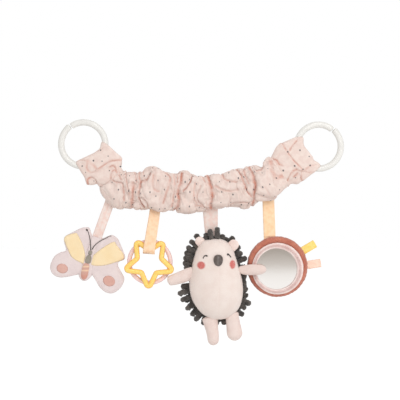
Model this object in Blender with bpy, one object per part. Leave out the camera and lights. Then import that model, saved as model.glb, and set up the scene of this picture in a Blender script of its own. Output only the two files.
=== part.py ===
"""A hanging pram toy: a gathered elastic sleeve between two split rings, with four small toys on ribbons.

X runs to the right, Y away from the front and Z up. The origin lies halfway between the rings' centres.
Each piece is one closed solid, and a moving piece has its object's origin on the axis that it turns about.
"""

import math

import bmesh
import bpy
from mathutils import Matrix, Vector
from mathutils.bvhtree import BVHTree

# Shared clearances, in metres
CLEARANCE = 0.0003
RAY_START = 0.6

# The two split rings
RING_SPACING = 0.306
RING_TILT = 0.0015
RING_DIAMETER = 0.0654
RING_TUBE = 0.0082
RING_SPLIT = 0.001
RING_END_STEP = 0.0004
LEFT_SPLIT_ANGLE = math.radians(125)
RIGHT_SPLIT_ANGLE = math.radians(50)

# The cloth cuffs that hold the rings
CUFF_LENGTH = 0.055
CUFF_WIDTH = 0.0545
CUFF_DEPTH = 0.0144
CUFF_CHANNEL_CLEARANCE = 0.0006
LEFT_NECK_WIDTH = 0.0372
RIGHT_NECK_WIDTH = 0.0456
NECK_RADIUS = 0.007
LEFT_CUFF_ANGLE = math.radians(-51)
RIGHT_CUFF_ANGLE = math.radians(-147)
# Each row is the distance from the ring's centre, the width and the depth
CUFF_SHARES = (
    (0.215, 0.76, 0.42),
    (0.235, 0.78, 0.72),
    (0.29, 0.82, 0.93),
    (0.40, 0.87, 0.98),
    (0.52, 0.93, 1.0),
    (0.66, 0.99, 0.98),
    (0.78, 1.0, 1.0),
    (0.90, 0.90, 1.04),
)

# The gathered sleeve and the elastic inside it
SLEEVE_SAG = 0.062
SLEEVE_HEIGHT = 0.051
SLEEVE_DEPTH = 0.030
SLEEVE_END_DEPTH = 0.018
SLEEVE_BORE_HEIGHT = 0.029
SLEEVE_BORE_DEPTH = 0.011
ELASTIC_WIDTH = 0.020
ELASTIC_THICKNESS = 0.0015
# Each row is a place from the sleeve's left end to its right end, and how low it hangs there
SLEEVE_PATH_SHARES = (
    (0.1296, 0.944),
    (0.3115, 0.960),
    (0.5304, 1.000),
    (0.7073, 0.927),
    (0.8470, 0.839),
    (0.9405, 0.702),
)
# Each row is a place along the sleeve and the height there
SLEEVE_HEIGHT_SHARES = (
    (0.0, 0.78),
    (0.025, 0.90),
    (0.136, 0.99),
    (0.20, 1.09),
    (0.26, 1.11),
    (0.32, 1.05),
    (0.37, 0.98),
    (0.43, 1.14),
    (0.52, 0.95),
    (0.60, 0.91),
    (0.70, 0.93),
    (0.77, 1.09),
    (0.83, 1.07),
    (0.89, 0.98),
    (0.95, 0.99),
    (1.0, 0.88),
)
# Each row is a gather: its place, its width, its depth and its lean
GATHER_SHARES = (
    (0.070, 0.011, 0.11, 0.012),
    (0.112, 0.009, 0.17, -0.012),
    (0.152, 0.008, 0.22, 0.006),
    (0.184, 0.007, 0.17, -0.004),
    (0.245, 0.009, 0.09, 0.012),
    (0.303, 0.009, 0.10, -0.010),
    (0.350, 0.008, 0.15, 0.006),
    (0.388, 0.008, 0.26, -0.003),
    (0.452, 0.009, 0.09, 0.014),
    (0.505, 0.009, 0.13, -0.008),
    (0.585, 0.009, 0.19, 0.005),
    (0.655, 0.010, 0.08, 0.014),
    (0.735, 0.009, 0.14, -0.010),
    (0.785, 0.008, 0.19, 0.006),
    (0.830, 0.008, 0.17, -0.008),
    (0.905, 0.010, 0.13, 0.014),
    (0.955, 0.009, 0.11, -0.006),
)
RIPPLE_SHARE = 0.018

# The ribbons
RIBBON_THICKNESS = 0.0012
RIBBON_END_SHARE = 0.35
RIBBON_SEAM_GAP = 0.0008
SEAM_BACK = 0.004
BUTTERFLY_STRAP_WIDTH = 0.0122
BUTTERFLY_STRAP_SHARE = -0.0187
STAR_STRAP_WIDTH = 0.0140
STAR_STRAP_SHARE = 0.2545
HEDGEHOG_STRAP_WIDTH = 0.0145
HEDGEHOG_STRAP_SHARE = 0.5854
MIRROR_STRAP_WIDTH = 0.0152
MIRROR_STRAP_SHARE = 0.9368
MIRROR_SEAM_BACK = 0.0085

# The butterfly
BUTTERFLY_SWAY = -0.0298
BUTTERFLY_Z = -0.1424
BUTTERFLY_Y = 0.004
BUTTERFLY_SPAN = 0.0975
BUTTERFLY_BODY_WIDTH = 0.0096
BUTTERFLY_BODY_DEPTH = 0.0072
BUTTERFLY_NECK_WIDTH = 0.0126
WING_PUFF = 0.0026
WING_EDGE = 0.0011
WING_FILLING = 0.0008
WING_HEM = 0.0022
WING_HINGE_GAP = 0.0004
# The ends of the body's line, then the outlines, across and up from the butterfly's centre
BODY_TOP_SHARES = (0.079, 0.19)
BODY_TAIL_SHARES = (-0.047, -0.345)
NECK_THIN_SHARE = 0.6
NECK_DROP_SHARE = 0.25
WING_ROOT_SHARE = 0.86
WING_PUFF_SHARE = 2.4
# Each row is how far into the hem and how far out of the seam the wing's cloth is
WING_LAYER_SHARES = ((0.0, 0.5), (0.5, 1.0), (1.0, 0.9))
# Each row is a place down the body, the width and the thickness there
BODY_ROW_SHARES = (
    (0.0, 0.80, 0.62),
    (0.12, 0.86, 0.80),
    (0.26, 0.95, 1.0),
    (0.40, 0.82, 0.9),
    (0.47, 0.86, 0.88),
    (0.62, 1.0, 1.0),
    (0.78, 0.96, 0.95),
    (0.90, 0.74, 0.75),
    (0.97, 0.46, 0.5),
    (1.0, 0.16, 0.2),
)
NECK_X_SHARE = 0.128
NECK_Z_SHARE = 0.236
LEFT_WING_SHARES = (
    (0.028, 0.330),
    (-0.023, 0.372),
    (-0.091, 0.359),
    (-0.192, 0.308),
    (-0.277, 0.265),
    (-0.312, 0.215),
    (-0.304, 0.150),
    (-0.295, 0.072),
    (-0.363, 0.036),
    (-0.439, -0.015),
    (-0.485, -0.100),
    (-0.496, -0.168),
    (-0.478, -0.230),
    (-0.430, -0.279),
    (-0.355, -0.300),
    (-0.260, -0.291),
    (-0.180, -0.272),
)
RIGHT_WING_SHARES = (
    (0.105, -0.330),
    (0.164, -0.432),
    (0.241, -0.496),
    (0.327, -0.512),
    (0.403, -0.475),
    (0.460, -0.407),
    (0.476, -0.325),
    (0.450, -0.244),
    (0.411, -0.151),
    (0.418, -0.092),
    (0.470, -0.055),
    (0.481, -0.005),
    (0.450, 0.112),
    (0.408, 0.207),
    (0.330, 0.262),
    (0.262, 0.252),
)

# The star teether and the ring behind it
STAR_SWAY = -0.0074
STAR_Z = -0.1517
STAR_TIP_RADIUS = 0.0301
STAR_NOTCH_RADIUS = 0.0170
STAR_TUBE = 0.0064
STAR_Y = -0.0034
STAR_CORNER_SHARE = 0.34
STAR_BULGE_SHARE = 0.25
PINK_RING_DIAMETER = 0.0592
PINK_RING_TUBE = 0.0057
STAR_LOOP_DEPTH = 0.0210
STAR_LOOP_WIDTH = 0.0156
STAR_TILT_LIFT = 0.003

# The hedgehog
HEDGEHOG_SWAY = 0.0077
HEDGEHOG_CROWN_Z = -0.1210
HEDGEHOG_Y = 0.003
HEDGEHOG_HEIGHT = 0.105
HEDGEHOG_WIDTH = 0.0698
HEDGEHOG_LEAN = 0.0045
HEDGEHOG_LEAN_SHARE = 0.55
ROW_EASE_SHARE = 0.55
BELLY_DEPTH = 0.026
BACK_DEPTH = 0.021
HEDGEHOG_STRAP_BACK = 0.006
# Each row is a place down from the crown and the width there
BODY_WIDTH_SHARES = (
    (0.0, 0.17),
    (0.02, 0.39),
    (0.08, 0.60),
    (0.14, 0.71),
    (0.22, 0.79),
    (0.30, 0.85),
    (0.41, 0.92),
    (0.54, 1.0),
    (0.66, 1.0),
    (0.77, 0.93),
    (0.86, 0.79),
    (0.93, 0.61),
    (0.98, 0.36),
    (1.0, 0.16),
)
NOSE_WIDTH = 0.0121
NOSE_HEIGHT = 0.0150
NOSE_DEPTH = 0.0076
NOSE_SHIFT_X = 0.0029
NOSE_Z = -0.1492
SPIKE_WIDTH = 0.0066
SPIKE_LENGTH = 0.0130
SPIKE_DROOP = 0.003
SPIKE_REACH = 0.0370
SPIKE_SPREAD_Z = -0.178
SPIKE_SPREAD_SHARE = 0.2
SPIKE_SHORT_SHARE = 0.86
SPIKE_LONG_SHARE = 1.14
SPIKE_PLACE_SHARES = (0.5, 0.86, 1.0)
SPIKE_WIDTH_SHARES = (1.0, 1.0, 0.88, 0.45)
LIMB_ROOM = 0.0012
# Root height and depth, tip height and depth, and length of the limbs
LEFT_ARM_SIZES = (0.0160, 0.0112, 0.0128, 0.0096, 0.0285)
RIGHT_ARM_SIZES = (0.0144, 0.0104, 0.0108, 0.0088, 0.0335)
LEFT_LEG_SIZES = (0.0196, 0.0146, 0.0165, 0.0150, 0.0330)
RIGHT_LEG_SIZES = (0.0172, 0.0140, 0.0186, 0.0150, 0.0300)
LEFT_EAR_SIZES = (0.0128, 0.0044, 0.0098, 0.0032, 0.0100)
RIGHT_EAR_SIZES = (0.0134, 0.0044, 0.0096, 0.0032, 0.0112)
LEFT_ARM_DROP = 0.0452
RIGHT_ARM_DROP = 0.0412
ARM_FORWARD = 0.005
LEG_SPREAD = 0.0296
LEG_CENTRE_SHIFT = 0.0058
LEG_FORWARD = 0.002
LEFT_ARM_SLOPE = math.radians(19.5)
RIGHT_ARM_REACH = math.radians(20)
LEG_SPLAY = math.radians(6.5)
LEFT_EAR_ANGLE = math.radians(124)
RIGHT_EAR_ANGLE = math.radians(41)
LEFT_EAR_DROP = 0.0062
RIGHT_EAR_DROP = 0.0098
SOCKET_SHARE = 0.5
LIMB_SHARES = ((0.0, 0.0), (0.3, 0.15), (0.62, 0.55), (1.0, 1.0))

# The mirror toy
MIRROR_PAD_SWAY = 0.0126
MIRROR_PAD_Z = -0.1577
MIRROR_PAD_DIAMETER = 0.0792
MIRROR_PAD_DEPTH = 0.0136
MIRROR_PAD_FRONT = 0.003
MIRROR_SHIFT_X = 0.0009
MIRROR_SHIFT_Z = 0.0030
BEZEL_DIAMETER = 0.0680
BEZEL_DEPTH = 0.0026
BEZEL_EDGE_SHARE = 0.35
BEZEL_CROWN_SHARE = 0.4
BEZEL_ROUND_SHARE = 0.94
PAD_DOME_SHARES = ((0.45, 1.08), (0, 1.1))
MIRROR_WINDOW = 0.0546
MIRROR_DIAMETER = 0.0584
MIRROR_THICKNESS = 0.0020
TAG_WIDTH = 0.0106
TAG_LENGTH = 0.0170
TAG_THICKNESS = 0.0008
TAG_OPENING = 0.0012
YELLOW_TAG_ANGLE = math.radians(32)
PINK_TAG_ANGLE = math.radians(5.5)

# Facet counts and the angle past which an edge stays sharp
RING_STEPS, TUBE_SIDES = 44, 8
SLEEVE_STEPS, SLEEVE_SIDES, BORE_STEPS, ELASTIC_STEPS = 72, 14, 12, 16
TURNED_STEPS = 36
CUFF_SIDES, LIMB_SIDES, SOCKET_SIDES = 20, 12, 20
BACK_ROWS, BACK_COLUMNS = 12, 9
SHARP_ANGLE = math.radians(40)

RING_PATH_RADIUS = (RING_DIAMETER - RING_TUBE) / 2
PINK_RING_RADIUS = (PINK_RING_DIAMETER - PINK_RING_TUBE) / 2
LEFT_RING_CENTRE = Vector((-RING_SPACING / 2, 0, RING_TILT))
RIGHT_RING_CENTRE = Vector((RING_SPACING / 2, 0, -RING_TILT))
FRONTWARD = Vector((0, -1, 0))
UPWARD = Vector((0, 0, 1))


def linear(channel):
    """One channel of a screen colour, 0 to 255, as the light value a shader takes."""
    value = channel / 255
    return value / 12.92 if value <= 0.04045 else ((value + 0.055) / 1.055) ** 2.4


def material(name, colour, roughness, metallic=0.0):
    made = bpy.data.materials.new(name)
    made.use_nodes = True
    shader = made.node_tree.nodes["Principled BSDF"]
    shader.inputs["Base Color"].default_value = (*(linear(c) for c in colour), 1)
    shader.inputs["Roughness"].default_value = roughness
    shader.inputs["Metallic"].default_value = metallic
    made.diffuse_color = shader.inputs["Base Color"].default_value
    return made


def place(name, bm, finish, pivot=Vector((0, 0, 0))):
    """Turn a world-space bmesh into a named object whose origin is the pivot."""
    bmesh.ops.recalc_face_normals(bm, faces=bm.faces)
    if bm.calc_volume(signed=True) < 0:
        bmesh.ops.reverse_faces(bm, faces=bm.faces)
    mesh = bpy.data.meshes.new(name)
    bm.to_mesh(mesh)
    bm.free()
    mesh.transform(Matrix.Translation(-pivot))
    mesh.shade_smooth()
    mesh.set_sharp_from_angle(angle=SHARP_ANGLE)
    mesh.materials.append(finish)
    placed = bpy.data.objects.new(name, mesh)
    placed.location = pivot
    bpy.context.scene.collection.objects.link(placed)
    bpy.context.view_layer.update()
    return placed


def share_at(table, place_share):
    """Read a table of (place, value) rows at any place, eased between its rows."""
    if place_share <= table[0][0]:
        return table[0][1]
    for (start, low), (end, high) in zip(table, table[1:]):
        if place_share <= end:
            step = (place_share - start) / (end - start)
            return low + (high - low) * step * step * (3 - 2 * step)
    return table[-1][1]


def smooth_curve(points, steps, closed=False):
    """A Catmull-Rom curve through the points, with so many steps between neighbours."""
    count = len(points)
    curve = []
    for index in range(count if closed else count - 1):
        start, end = points[index], points[(index + 1) % count]
        before = points[index - 1] if closed or index else start * 2 - end
        after = points[(index + 2) % count] if closed or index + 2 < count else end * 2 - start
        for step in range(steps):
            t = step / steps
            first = start * 2 + (end - before) * t
            second = (before * 2 - start * 5 + end * 4 - after) * t**2
            third = (start * 3 - before - end * 3 + after) * t**3
            curve.append((first + second + third) / 2)
    return curve if closed else curve + [points[-1]]


def even_points(curve, count):
    """So many points at even spacing along an open curve."""
    lengths = [0.0]
    for start, end in zip(curve, curve[1:]):
        lengths.append(lengths[-1] + (end - start).length)
    points, index = [], 0
    for number in range(count):
        target = lengths[-1] * number / (count - 1)
        while index < len(curve) - 2 and lengths[index + 1] < target:
            index += 1
        span = lengths[index + 1] - lengths[index]
        points.append(curve[index].lerp(curve[index + 1], (target - lengths[index]) / span))
    return points


def loft(rings, closed=False):
    """Skin rings of equal count, capped at both ends or joined into a loop."""
    bm = bmesh.new()
    rows = [[bm.verts.new(point) for point in ring] for ring in rings]
    pairs = list(zip(rows, rows[1:])) + ([(rows[-1], rows[0])] if closed else [])
    for low, high in pairs:
        for index, vertex in enumerate(low):
            after = (index + 1) % len(low)
            bm.faces.new((vertex, low[after], high[after], high[index]))
    if not closed:
        bm.faces.new(reversed(rows[0]))
        bm.faces.new(rows[-1])
    return bm


def oval(centre, across, through, sides, roundness=2.0):
    """A ring of points: an ellipse at roundness 2, squarer above it."""
    points = []
    for side in range(sides):
        angle = 2 * math.pi * (side + 0.5) / sides
        cos, sin = math.cos(angle), math.sin(angle)
        wide = math.copysign(abs(cos) ** (2 / roundness), cos)
        deep = math.copysign(abs(sin) ** (2 / roundness), sin)
        points.append(centre + across * wide + through * deep)
    return points


def flat_tangents(path, closed):
    count = len(path)
    tangents = []
    for index in range(count):
        ahead = path[(index + 1) % count] if closed or index + 1 < count else path[index]
        behind = path[index - 1] if closed or index else path[index]
        tangents.append((ahead - behind).normalized())
    return tangents


def tube(path, radii, closed=False):
    """A round tube along a path that stays in one upright plane."""
    rings = []
    for point, tangent, radius in zip(path, flat_tangents(path, closed), radii):
        across = FRONTWARD.cross(tangent).normalized()
        rings.append(oval(point, across * radius, FRONTWARD * radius, TUBE_SIDES))
    return loft(rings, closed)


def on_circle(centre, radius, angle):
    return centre + Vector((math.cos(angle), 0, math.sin(angle))) * radius


def turned(rings):
    """Skin circles given as (centre, radius, depth); the first and last shrink to a point or close a loop."""
    closed = rings[0][1] > 0
    bm = bmesh.new()
    rows = []
    for centre, radius, depth in rings:
        middle = Vector((centre.x, depth, centre.z))
        if radius == 0:
            rows.append([bm.verts.new(middle)])
        else:
            angles = (2 * math.pi * step / TURNED_STEPS for step in range(TURNED_STEPS))
            rows.append([bm.verts.new(on_circle(middle, radius, angle)) for angle in angles])
    for low, high in list(zip(rows, rows[1:])) + ([(rows[-1], rows[0])] if closed else []):
        for index in range(TURNED_STEPS):
            after = (index + 1) % TURNED_STEPS
            if len(low) == 1:
                bm.faces.new((low[0], high[after], high[index]))
            elif len(high) == 1:
                bm.faces.new((low[index], low[after], high[0]))
            else:
                bm.faces.new((low[index], low[after], high[after], high[index]))
    return bm


def guide(name, bm):
    made = place(name, bm, MATERIALS["guide"])
    made.hide_render = True
    made.display_type = "WIRE"
    return made


def grown(source, amount):
    """A guide the shape of a finished piece, larger all round by the amount."""
    evaluated = source.evaluated_get(bpy.context.evaluated_depsgraph_get())
    bm = bmesh.new()
    bm.from_mesh(evaluated.data)
    bm.transform(source.matrix_world)
    bm.normal_update()
    for vertex, shift in [(v, v.normal * amount * v.calc_shell_factor()) for v in bm.verts]:
        vertex.co += shift
    return guide(source.name + "_grown", bm)


def cut(piece, cutter):
    modifier = piece.modifiers.new("cut_" + cutter.name, "BOOLEAN")
    modifier.operation = "DIFFERENCE"
    modifier.object = cutter
    bpy.context.view_layer.update()


def surface_of(piece):
    evaluated = piece.evaluated_get(bpy.context.evaluated_depsgraph_get())
    bm = bmesh.new()
    bm.from_mesh(evaluated.data)
    bm.transform(piece.matrix_world)
    tree = BVHTree.FromBMesh(bm)
    bm.free()
    return tree


def hits(tree, starts, direction):
    """Where rays from the starts meet a surface, without those that miss it."""
    found = [tree.ray_cast(start, direction)[0] for start in starts]
    return [point for point in found if point is not None]


# Rings


def split_ring(name, centre, split_angle, inner_end):
    """A ring with one narrow split, its two ends stepped apart as moulded snap ends are."""
    nose = RING_TUBE / 2
    cap = nose / RING_PATH_RADIUS
    path, radii = [], []
    start = split_angle + RING_SPLIT / RING_PATH_RADIUS / 2 + cap
    arc = 2 * math.pi - RING_SPLIT / RING_PATH_RADIUS - 2 * cap
    leans = [math.radians(turn) for turn in (80, 52, 25)]

    def add(angle, radius, end_share):
        path.append(on_circle(centre, RING_PATH_RADIUS + RING_END_STEP * end_share, angle))
        radii.append(radius)

    for lean in leans:
        add(start - cap * math.sin(lean), nose * math.cos(lean), inner_end)
    for step in range(RING_STEPS + 1):
        share = step / RING_STEPS
        end_share = inner_end * max(0.0, 1 - 8 * share) - inner_end * max(0.0, 8 * share - 7)
        add(start + arc * share, nose, end_share)
    for lean in reversed(leans):
        add(start + arc + cap * math.sin(lean), nose * math.cos(lean), -inner_end)
    return place(name, tube(path, radii), MATERIALS["ring"], centre)


# Cuffs


def cuff_directions(angle):
    along = Vector((math.cos(angle), 0, math.sin(angle)))
    return along, Vector((-along.z, 0, along.x))


def cuff(name, ring_centre, angle, neck_width):
    """A flat pouch of cloth with a curved channel for the ring and a round neck to fold at."""
    along, across = cuff_directions(angle)
    half_width, half_depth = CUFF_WIDTH / 2, CUFF_DEPTH / 2
    rows = [(CUFF_LENGTH * far, half_width * wide, half_depth * deep) for far, wide, deep in CUFF_SHARES]
    for turn in (0, 25, 50, 70, 83):
        lean = math.radians(turn)
        far = CUFF_LENGTH + NECK_RADIUS * math.sin(lean)
        shrink = NECK_RADIUS * (1 - math.cos(lean)) / 2
        rows.append((far, neck_width / 2 - shrink, NECK_RADIUS * math.cos(lean)))
    rings = [
        oval(ring_centre + along * far, across * wide, FRONTWARD * deep, CUFF_SIDES, 4.5)
        for far, wide, deep in rows
    ]
    made = place(name, loft(rings), MATERIALS["sleeve"], ring_centre + along * CUFF_LENGTH)
    channel_radius = (RING_TUBE / 2 + CUFF_CHANNEL_CLEARANCE) / math.cos(math.pi / TUBE_SIDES)
    angles = [2 * math.pi * (step + 0.5) / RING_STEPS for step in range(RING_STEPS)]
    circle = [on_circle(ring_centre, RING_PATH_RADIUS, angle) for angle in angles]
    cut(made, guide(name + "_channel", tube(circle, [channel_radius] * RING_STEPS, closed=True)))
    return made


# Sleeve


def sleeve_ends():
    """The middles of the sleeve's two ends, each a clearance from its cuff's neck."""
    reach = CUFF_LENGTH + NECK_RADIUS + CLEARANCE
    start = LEFT_RING_CENTRE + cuff_directions(LEFT_CUFF_ANGLE)[0] * reach
    return start, RIGHT_RING_CENTRE + cuff_directions(RIGHT_CUFF_ANGLE)[0] * reach


def along_sleeve(share):
    """The place across, at a share of the way from the sleeve's left end to its right end."""
    start, end = sleeve_ends()
    return start.x + (end.x - start.x) * share


def sleeve_curve():
    """The sleeve's middle line, from the left cuff's neck to the right one's."""
    left_along, _ = cuff_directions(LEFT_CUFF_ANGLE)
    right_along, _ = cuff_directions(RIGHT_CUFF_ANGLE)
    start, end = sleeve_ends()
    ease = NECK_RADIUS
    middle = [Vector((along_sleeve(x), 0, -SLEEVE_SAG * z)) for x, z in SLEEVE_PATH_SHARES]
    return smooth_curve([start, start + left_along * ease, *middle, end + right_along * ease, end], 10)


def sleeve_frames(count):
    """Evenly spaced places on the middle line, each with its direction, square to the cuffs at both ends."""
    middle = even_points(sleeve_curve(), count)
    tangents = flat_tangents(middle, False)
    tangents[0] = cuff_directions(LEFT_CUFF_ANGLE)[0]
    tangents[-1] = -cuff_directions(RIGHT_CUFF_ANGLE)[0]
    return list(zip(middle, tangents))


def gathered(place_share, angle):
    """How far the cloth stands out at one place along and round the sleeve, as a share."""
    swell = 1 + RIPPLE_SHARE * math.sin(74 * place_share + 2 * math.sin(2 * angle))
    for where, wide, deep, lean in GATHER_SHARES:
        offset = (place_share - where - lean * math.sin(angle)) / wide
        swell -= deep * math.exp(-offset * offset)
    return swell


def sleeve_rings():
    """The outer rings, left to right, then the bore's rings, right to left, as one closed loop of rings."""
    outer, bore = [], []
    for index, (point, tangent) in enumerate(sleeve_frames(SLEEVE_STEPS + 1)):
        share = index / SLEEVE_STEPS
        across = FRONTWARD.cross(tangent)
        height = SLEEVE_HEIGHT / 2 * share_at(SLEEVE_HEIGHT_SHARES, share)
        fullness = min(1.0, 8 * min(share, 1 - share))
        depth = (SLEEVE_END_DEPTH + (SLEEVE_DEPTH - SLEEVE_END_DEPTH) * fullness) / 2
        ring = []
        for side in range(SLEEVE_SIDES):
            angle = 2 * math.pi * side / SLEEVE_SIDES
            swell = gathered(share, angle)
            out = across * height * math.cos(angle) + FRONTWARD * depth * math.sin(angle)
            ring.append(point + out * swell)
        outer.append(ring)
        if index % (SLEEVE_STEPS // BORE_STEPS) == 0 or index == SLEEVE_STEPS:
            fit = ELASTIC_THICKNESS / 2 + CLEARANCE
            high = (ELASTIC_WIDTH / 2 + 4 * CLEARANCE) * (1 - fullness) + SLEEVE_BORE_HEIGHT / 2 * fullness
            deep = (fit + CLEARANCE) * (1 - fullness) + SLEEVE_BORE_DEPTH / 2 * fullness
            roundness = 2 + 6 * (1 - fullness)
            ring = []
            for side in range(SLEEVE_SIDES):
                angle = 2 * math.pi * side / SLEEVE_SIDES
                cos, sin = math.cos(angle), math.sin(angle)
                wide = math.copysign(abs(cos) ** (2 / roundness), cos)
                thick = math.copysign(abs(sin) ** (2 / roundness), sin)
                ring.append(point + across * high * wide + FRONTWARD * deep * thick)
            bore.append(ring)
    return outer, bore


def sleeve():
    outer, bore = sleeve_rings()
    return place("sleeve", loft(outer + bore[::-1], closed=True), MATERIALS["sleeve"])


def elastic_band():
    """A flat elastic through the sleeve, held by the sleeve's stitched ends."""
    frames = sleeve_frames(ELASTIC_STEPS + 1)
    rings = []
    for index, (point, tangent) in enumerate(frames):
        inward = (index == 0) - (index == ELASTIC_STEPS)
        point = point + tangent * CLEARANCE * inward
        across = FRONTWARD.cross(tangent) * ELASTIC_WIDTH / 2
        thick = FRONTWARD * ELASTIC_THICKNESS / 2
        corners = (across + thick, thick - across, -across - thick, across - thick)
        rings.append([point + corner for corner in corners])
    return place("elastic_band", loft(rings), MATERIALS["elastic"])


# Where each ribbon is sewn on, and how far beside that its toy hangs

BUTTERFLY_STRAP_TOP_X = along_sleeve(BUTTERFLY_STRAP_SHARE)
STAR_STRAP_TOP_X = along_sleeve(STAR_STRAP_SHARE)
HEDGEHOG_STRAP_TOP_X = along_sleeve(HEDGEHOG_STRAP_SHARE)
MIRROR_STRAP_TOP_X = along_sleeve(MIRROR_STRAP_SHARE)
BUTTERFLY_X = BUTTERFLY_STRAP_TOP_X + BUTTERFLY_SWAY
STAR_X = STAR_STRAP_TOP_X + STAR_SWAY
HEDGEHOG_X = HEDGEHOG_STRAP_TOP_X + HEDGEHOG_SWAY
MIRROR_PAD_X = MIRROR_STRAP_TOP_X + MIRROR_PAD_SWAY


# Ribbons


def clear_heights(tree, top, width, columns):
    """Heights along a ribbon's top edge, such that the straight lines between them clear the cloth above."""
    half, fine = RIBBON_THICKNESS / 2, 6

    def limit(share):
        x = top[0] + width * (share - 0.5)
        rays = [Vector((x, top[1] + side, -RAY_START)) for side in (-half, 0, half)]
        return min(point.z for point in hits(tree, rays, UPWARD)) - RIBBON_SEAM_GAP

    heights = [limit(column / columns) for column in range(columns + 1)]
    for column in range(columns):
        for step in range(1, fine):
            share = step / fine
            line = heights[column] * (1 - share) + heights[column + 1] * share
            excess = max(0, line - limit((column + share) / columns))
            heights[column] -= excess
            heights[column + 1] -= excess
    return heights


def strap(name, finish, width, top, bottom, above, below):
    """A ribbon from the sleeve's underside to the top of a toy; top and bottom are (x, y) places."""
    columns, rows = 4, 7
    half = RIBBON_THICKNESS / 2
    under = surface_of(below)
    across = [width * (column / columns - 0.5) for column in range(columns + 1)]
    top_row = clear_heights(surface_of(above), top, width, columns)
    start_z = top_row[0] - width
    sides = (-half, 0, half)
    rays = [Vector((bottom[0] + shift, bottom[1] + side, start_z)) for shift in across for side in sides]
    low = max(point.z for point in hits(under, rays, -UPWARD)) + CLEARANCE
    bm = bmesh.new()
    grid = {}
    for row in range(rows + 1):
        share = row / rows
        ease = share * share * (3 - 2 * share)
        thin = RIBBON_END_SHARE if row in (0, rows) else 1
        for column, shift in enumerate(across):
            high = top_row[column]
            x = top[0] + (bottom[0] - top[0]) * share + shift
            z = high + (low - high) * share
            if row == 1:
                z = high - half
            if row == rows - 1:
                z = low + half
            y = top[1] + (bottom[1] - top[1]) * ease
            for side in (-1, 1):
                grid[row, column, side] = bm.verts.new((x, y + side * half * thin, z))
    for row in range(rows):
        for column in range(columns):
            for side in (-1, 1):
                corners = [(row, column), (row, column + 1), (row + 1, column + 1), (row + 1, column)]
                bm.faces.new([grid[r, c, side] for r, c in (corners if side > 0 else corners[::-1])])
        for column in (0, columns):
            corners = [(row, -1), (row + 1, -1), (row + 1, 1), (row, 1)]
            bm.faces.new([grid[r, column, side] for r, side in corners])
    for row in (0, rows):
        for column in range(columns):
            corners = [(column, 1), (column + 1, 1), (column + 1, -1), (column, -1)]
            bm.faces.new([grid[row, c, side] for c, side in corners])
    middle = top_row[columns // 2] - half
    hinge_top = Vector((top[0], top[1], middle))
    made = place(name, bm, finish, hinge_top)
    print(name, "top hinge", tuple(round(v, 4) for v in hinge_top))
    print(name, "bottom hinge", (round(bottom[0], 4), round(bottom[1], 4), round(low + half, 4)))
    return made


def folded_loop(name, finish, path, thickness, across_of, pivot):
    """A ribbon folded into a loop: the path is its middle line, across_of gives its half width there."""
    rings = []
    tangents = flat_tangents(path, True)
    across_way = across_of(path[0]).normalized()
    for point, tangent in zip(path, tangents):
        out = tangent.cross(across_way).normalized() * thickness / 2
        half = across_of(point)
        rings.append([point - half - out, point + half - out, point + half + out, point - half + out])
    return place(name, loft(rings, closed=True), finish, pivot)


# Butterfly


def butterfly_point(shares, y=0.0):
    return Vector((BUTTERFLY_X + BUTTERFLY_SPAN * shares[0], y, BUTTERFLY_Z + BUTTERFLY_SPAN * shares[1]))


def body_line():
    top, tail = butterfly_point(BODY_TOP_SHARES), butterfly_point(BODY_TAIL_SHARES)
    down = (tail - top).normalized()
    return top, tail, down, FRONTWARD.cross(down)


def butterfly_body():
    """The padded middle of the butterfly, with a flat neck on top where the ribbon is sewn on."""
    top, tail, down, aside = body_line()
    aside = -aside if aside.x < 0 else aside
    neck = butterfly_point((NECK_X_SHARE, NECK_Z_SHARE))
    half, deep = BUTTERFLY_BODY_WIDTH / 2, BUTTERFLY_BODY_DEPTH / 2
    neck_half, thin = BUTTERFLY_NECK_WIDTH / 2, WING_EDGE * 2
    centre = Vector((0, BUTTERFLY_Y, 0))
    right = Vector((1, 0, 0))
    long = (tail - top).length
    rows = [(neck, right, neck_half, thin * NECK_THIN_SHARE)]
    rows.append((neck.lerp(top, NECK_DROP_SHARE), right, neck_half, thin))
    for along, wide, thick in BODY_ROW_SHARES:
        rows.append((top + down * long * along, aside, half * wide, deep * thick))
    rings = [oval(point + centre, way * wide, FRONTWARD * thick, 12) for point, way, wide, thick in rows]
    return place("butterfly_body", loft(rings), MATERIALS["butterfly_body"], neck + centre)


def wing_outline(shares, side):
    """The outer curve of one wing, closed by a straight edge beside the body."""
    top, tail, down, aside = body_line()
    aside = -aside if aside.x < 0 else aside
    gap = BUTTERFLY_BODY_WIDTH / 2 + WING_HINGE_GAP
    edge_top = top + aside * side * gap
    edge_tail = top + down * (tail - top).length * WING_ROOT_SHARE + aside * side * gap
    curve = smooth_curve([butterfly_point(pair) for pair in shares], 2)
    return [edge_top] + curve + [edge_tail] if side < 0 else [edge_tail] + curve + [edge_top]


def inset_outline(outline, amount):
    """The outline moved inwards by the amount, measured square to each of its corners."""
    area = sum(a.x * b.z - b.x * a.z for a, b in zip(outline, outline[1:] + outline[:1]))
    turn = 1 if area > 0 else -1
    moved = []
    count = len(outline)
    for index, point in enumerate(outline):
        before = (point - outline[index - 1]).normalized()
        after = (outline[(index + 1) % count] - point).normalized()
        corner = (before + after).normalized()
        inward = Vector((-corner.z, 0, corner.x)) * turn
        square = max(0.5, inward.dot(Vector((-after.z, 0, after.x)) * turn))
        moved.append(point + inward * amount / square)
    return moved


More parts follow.
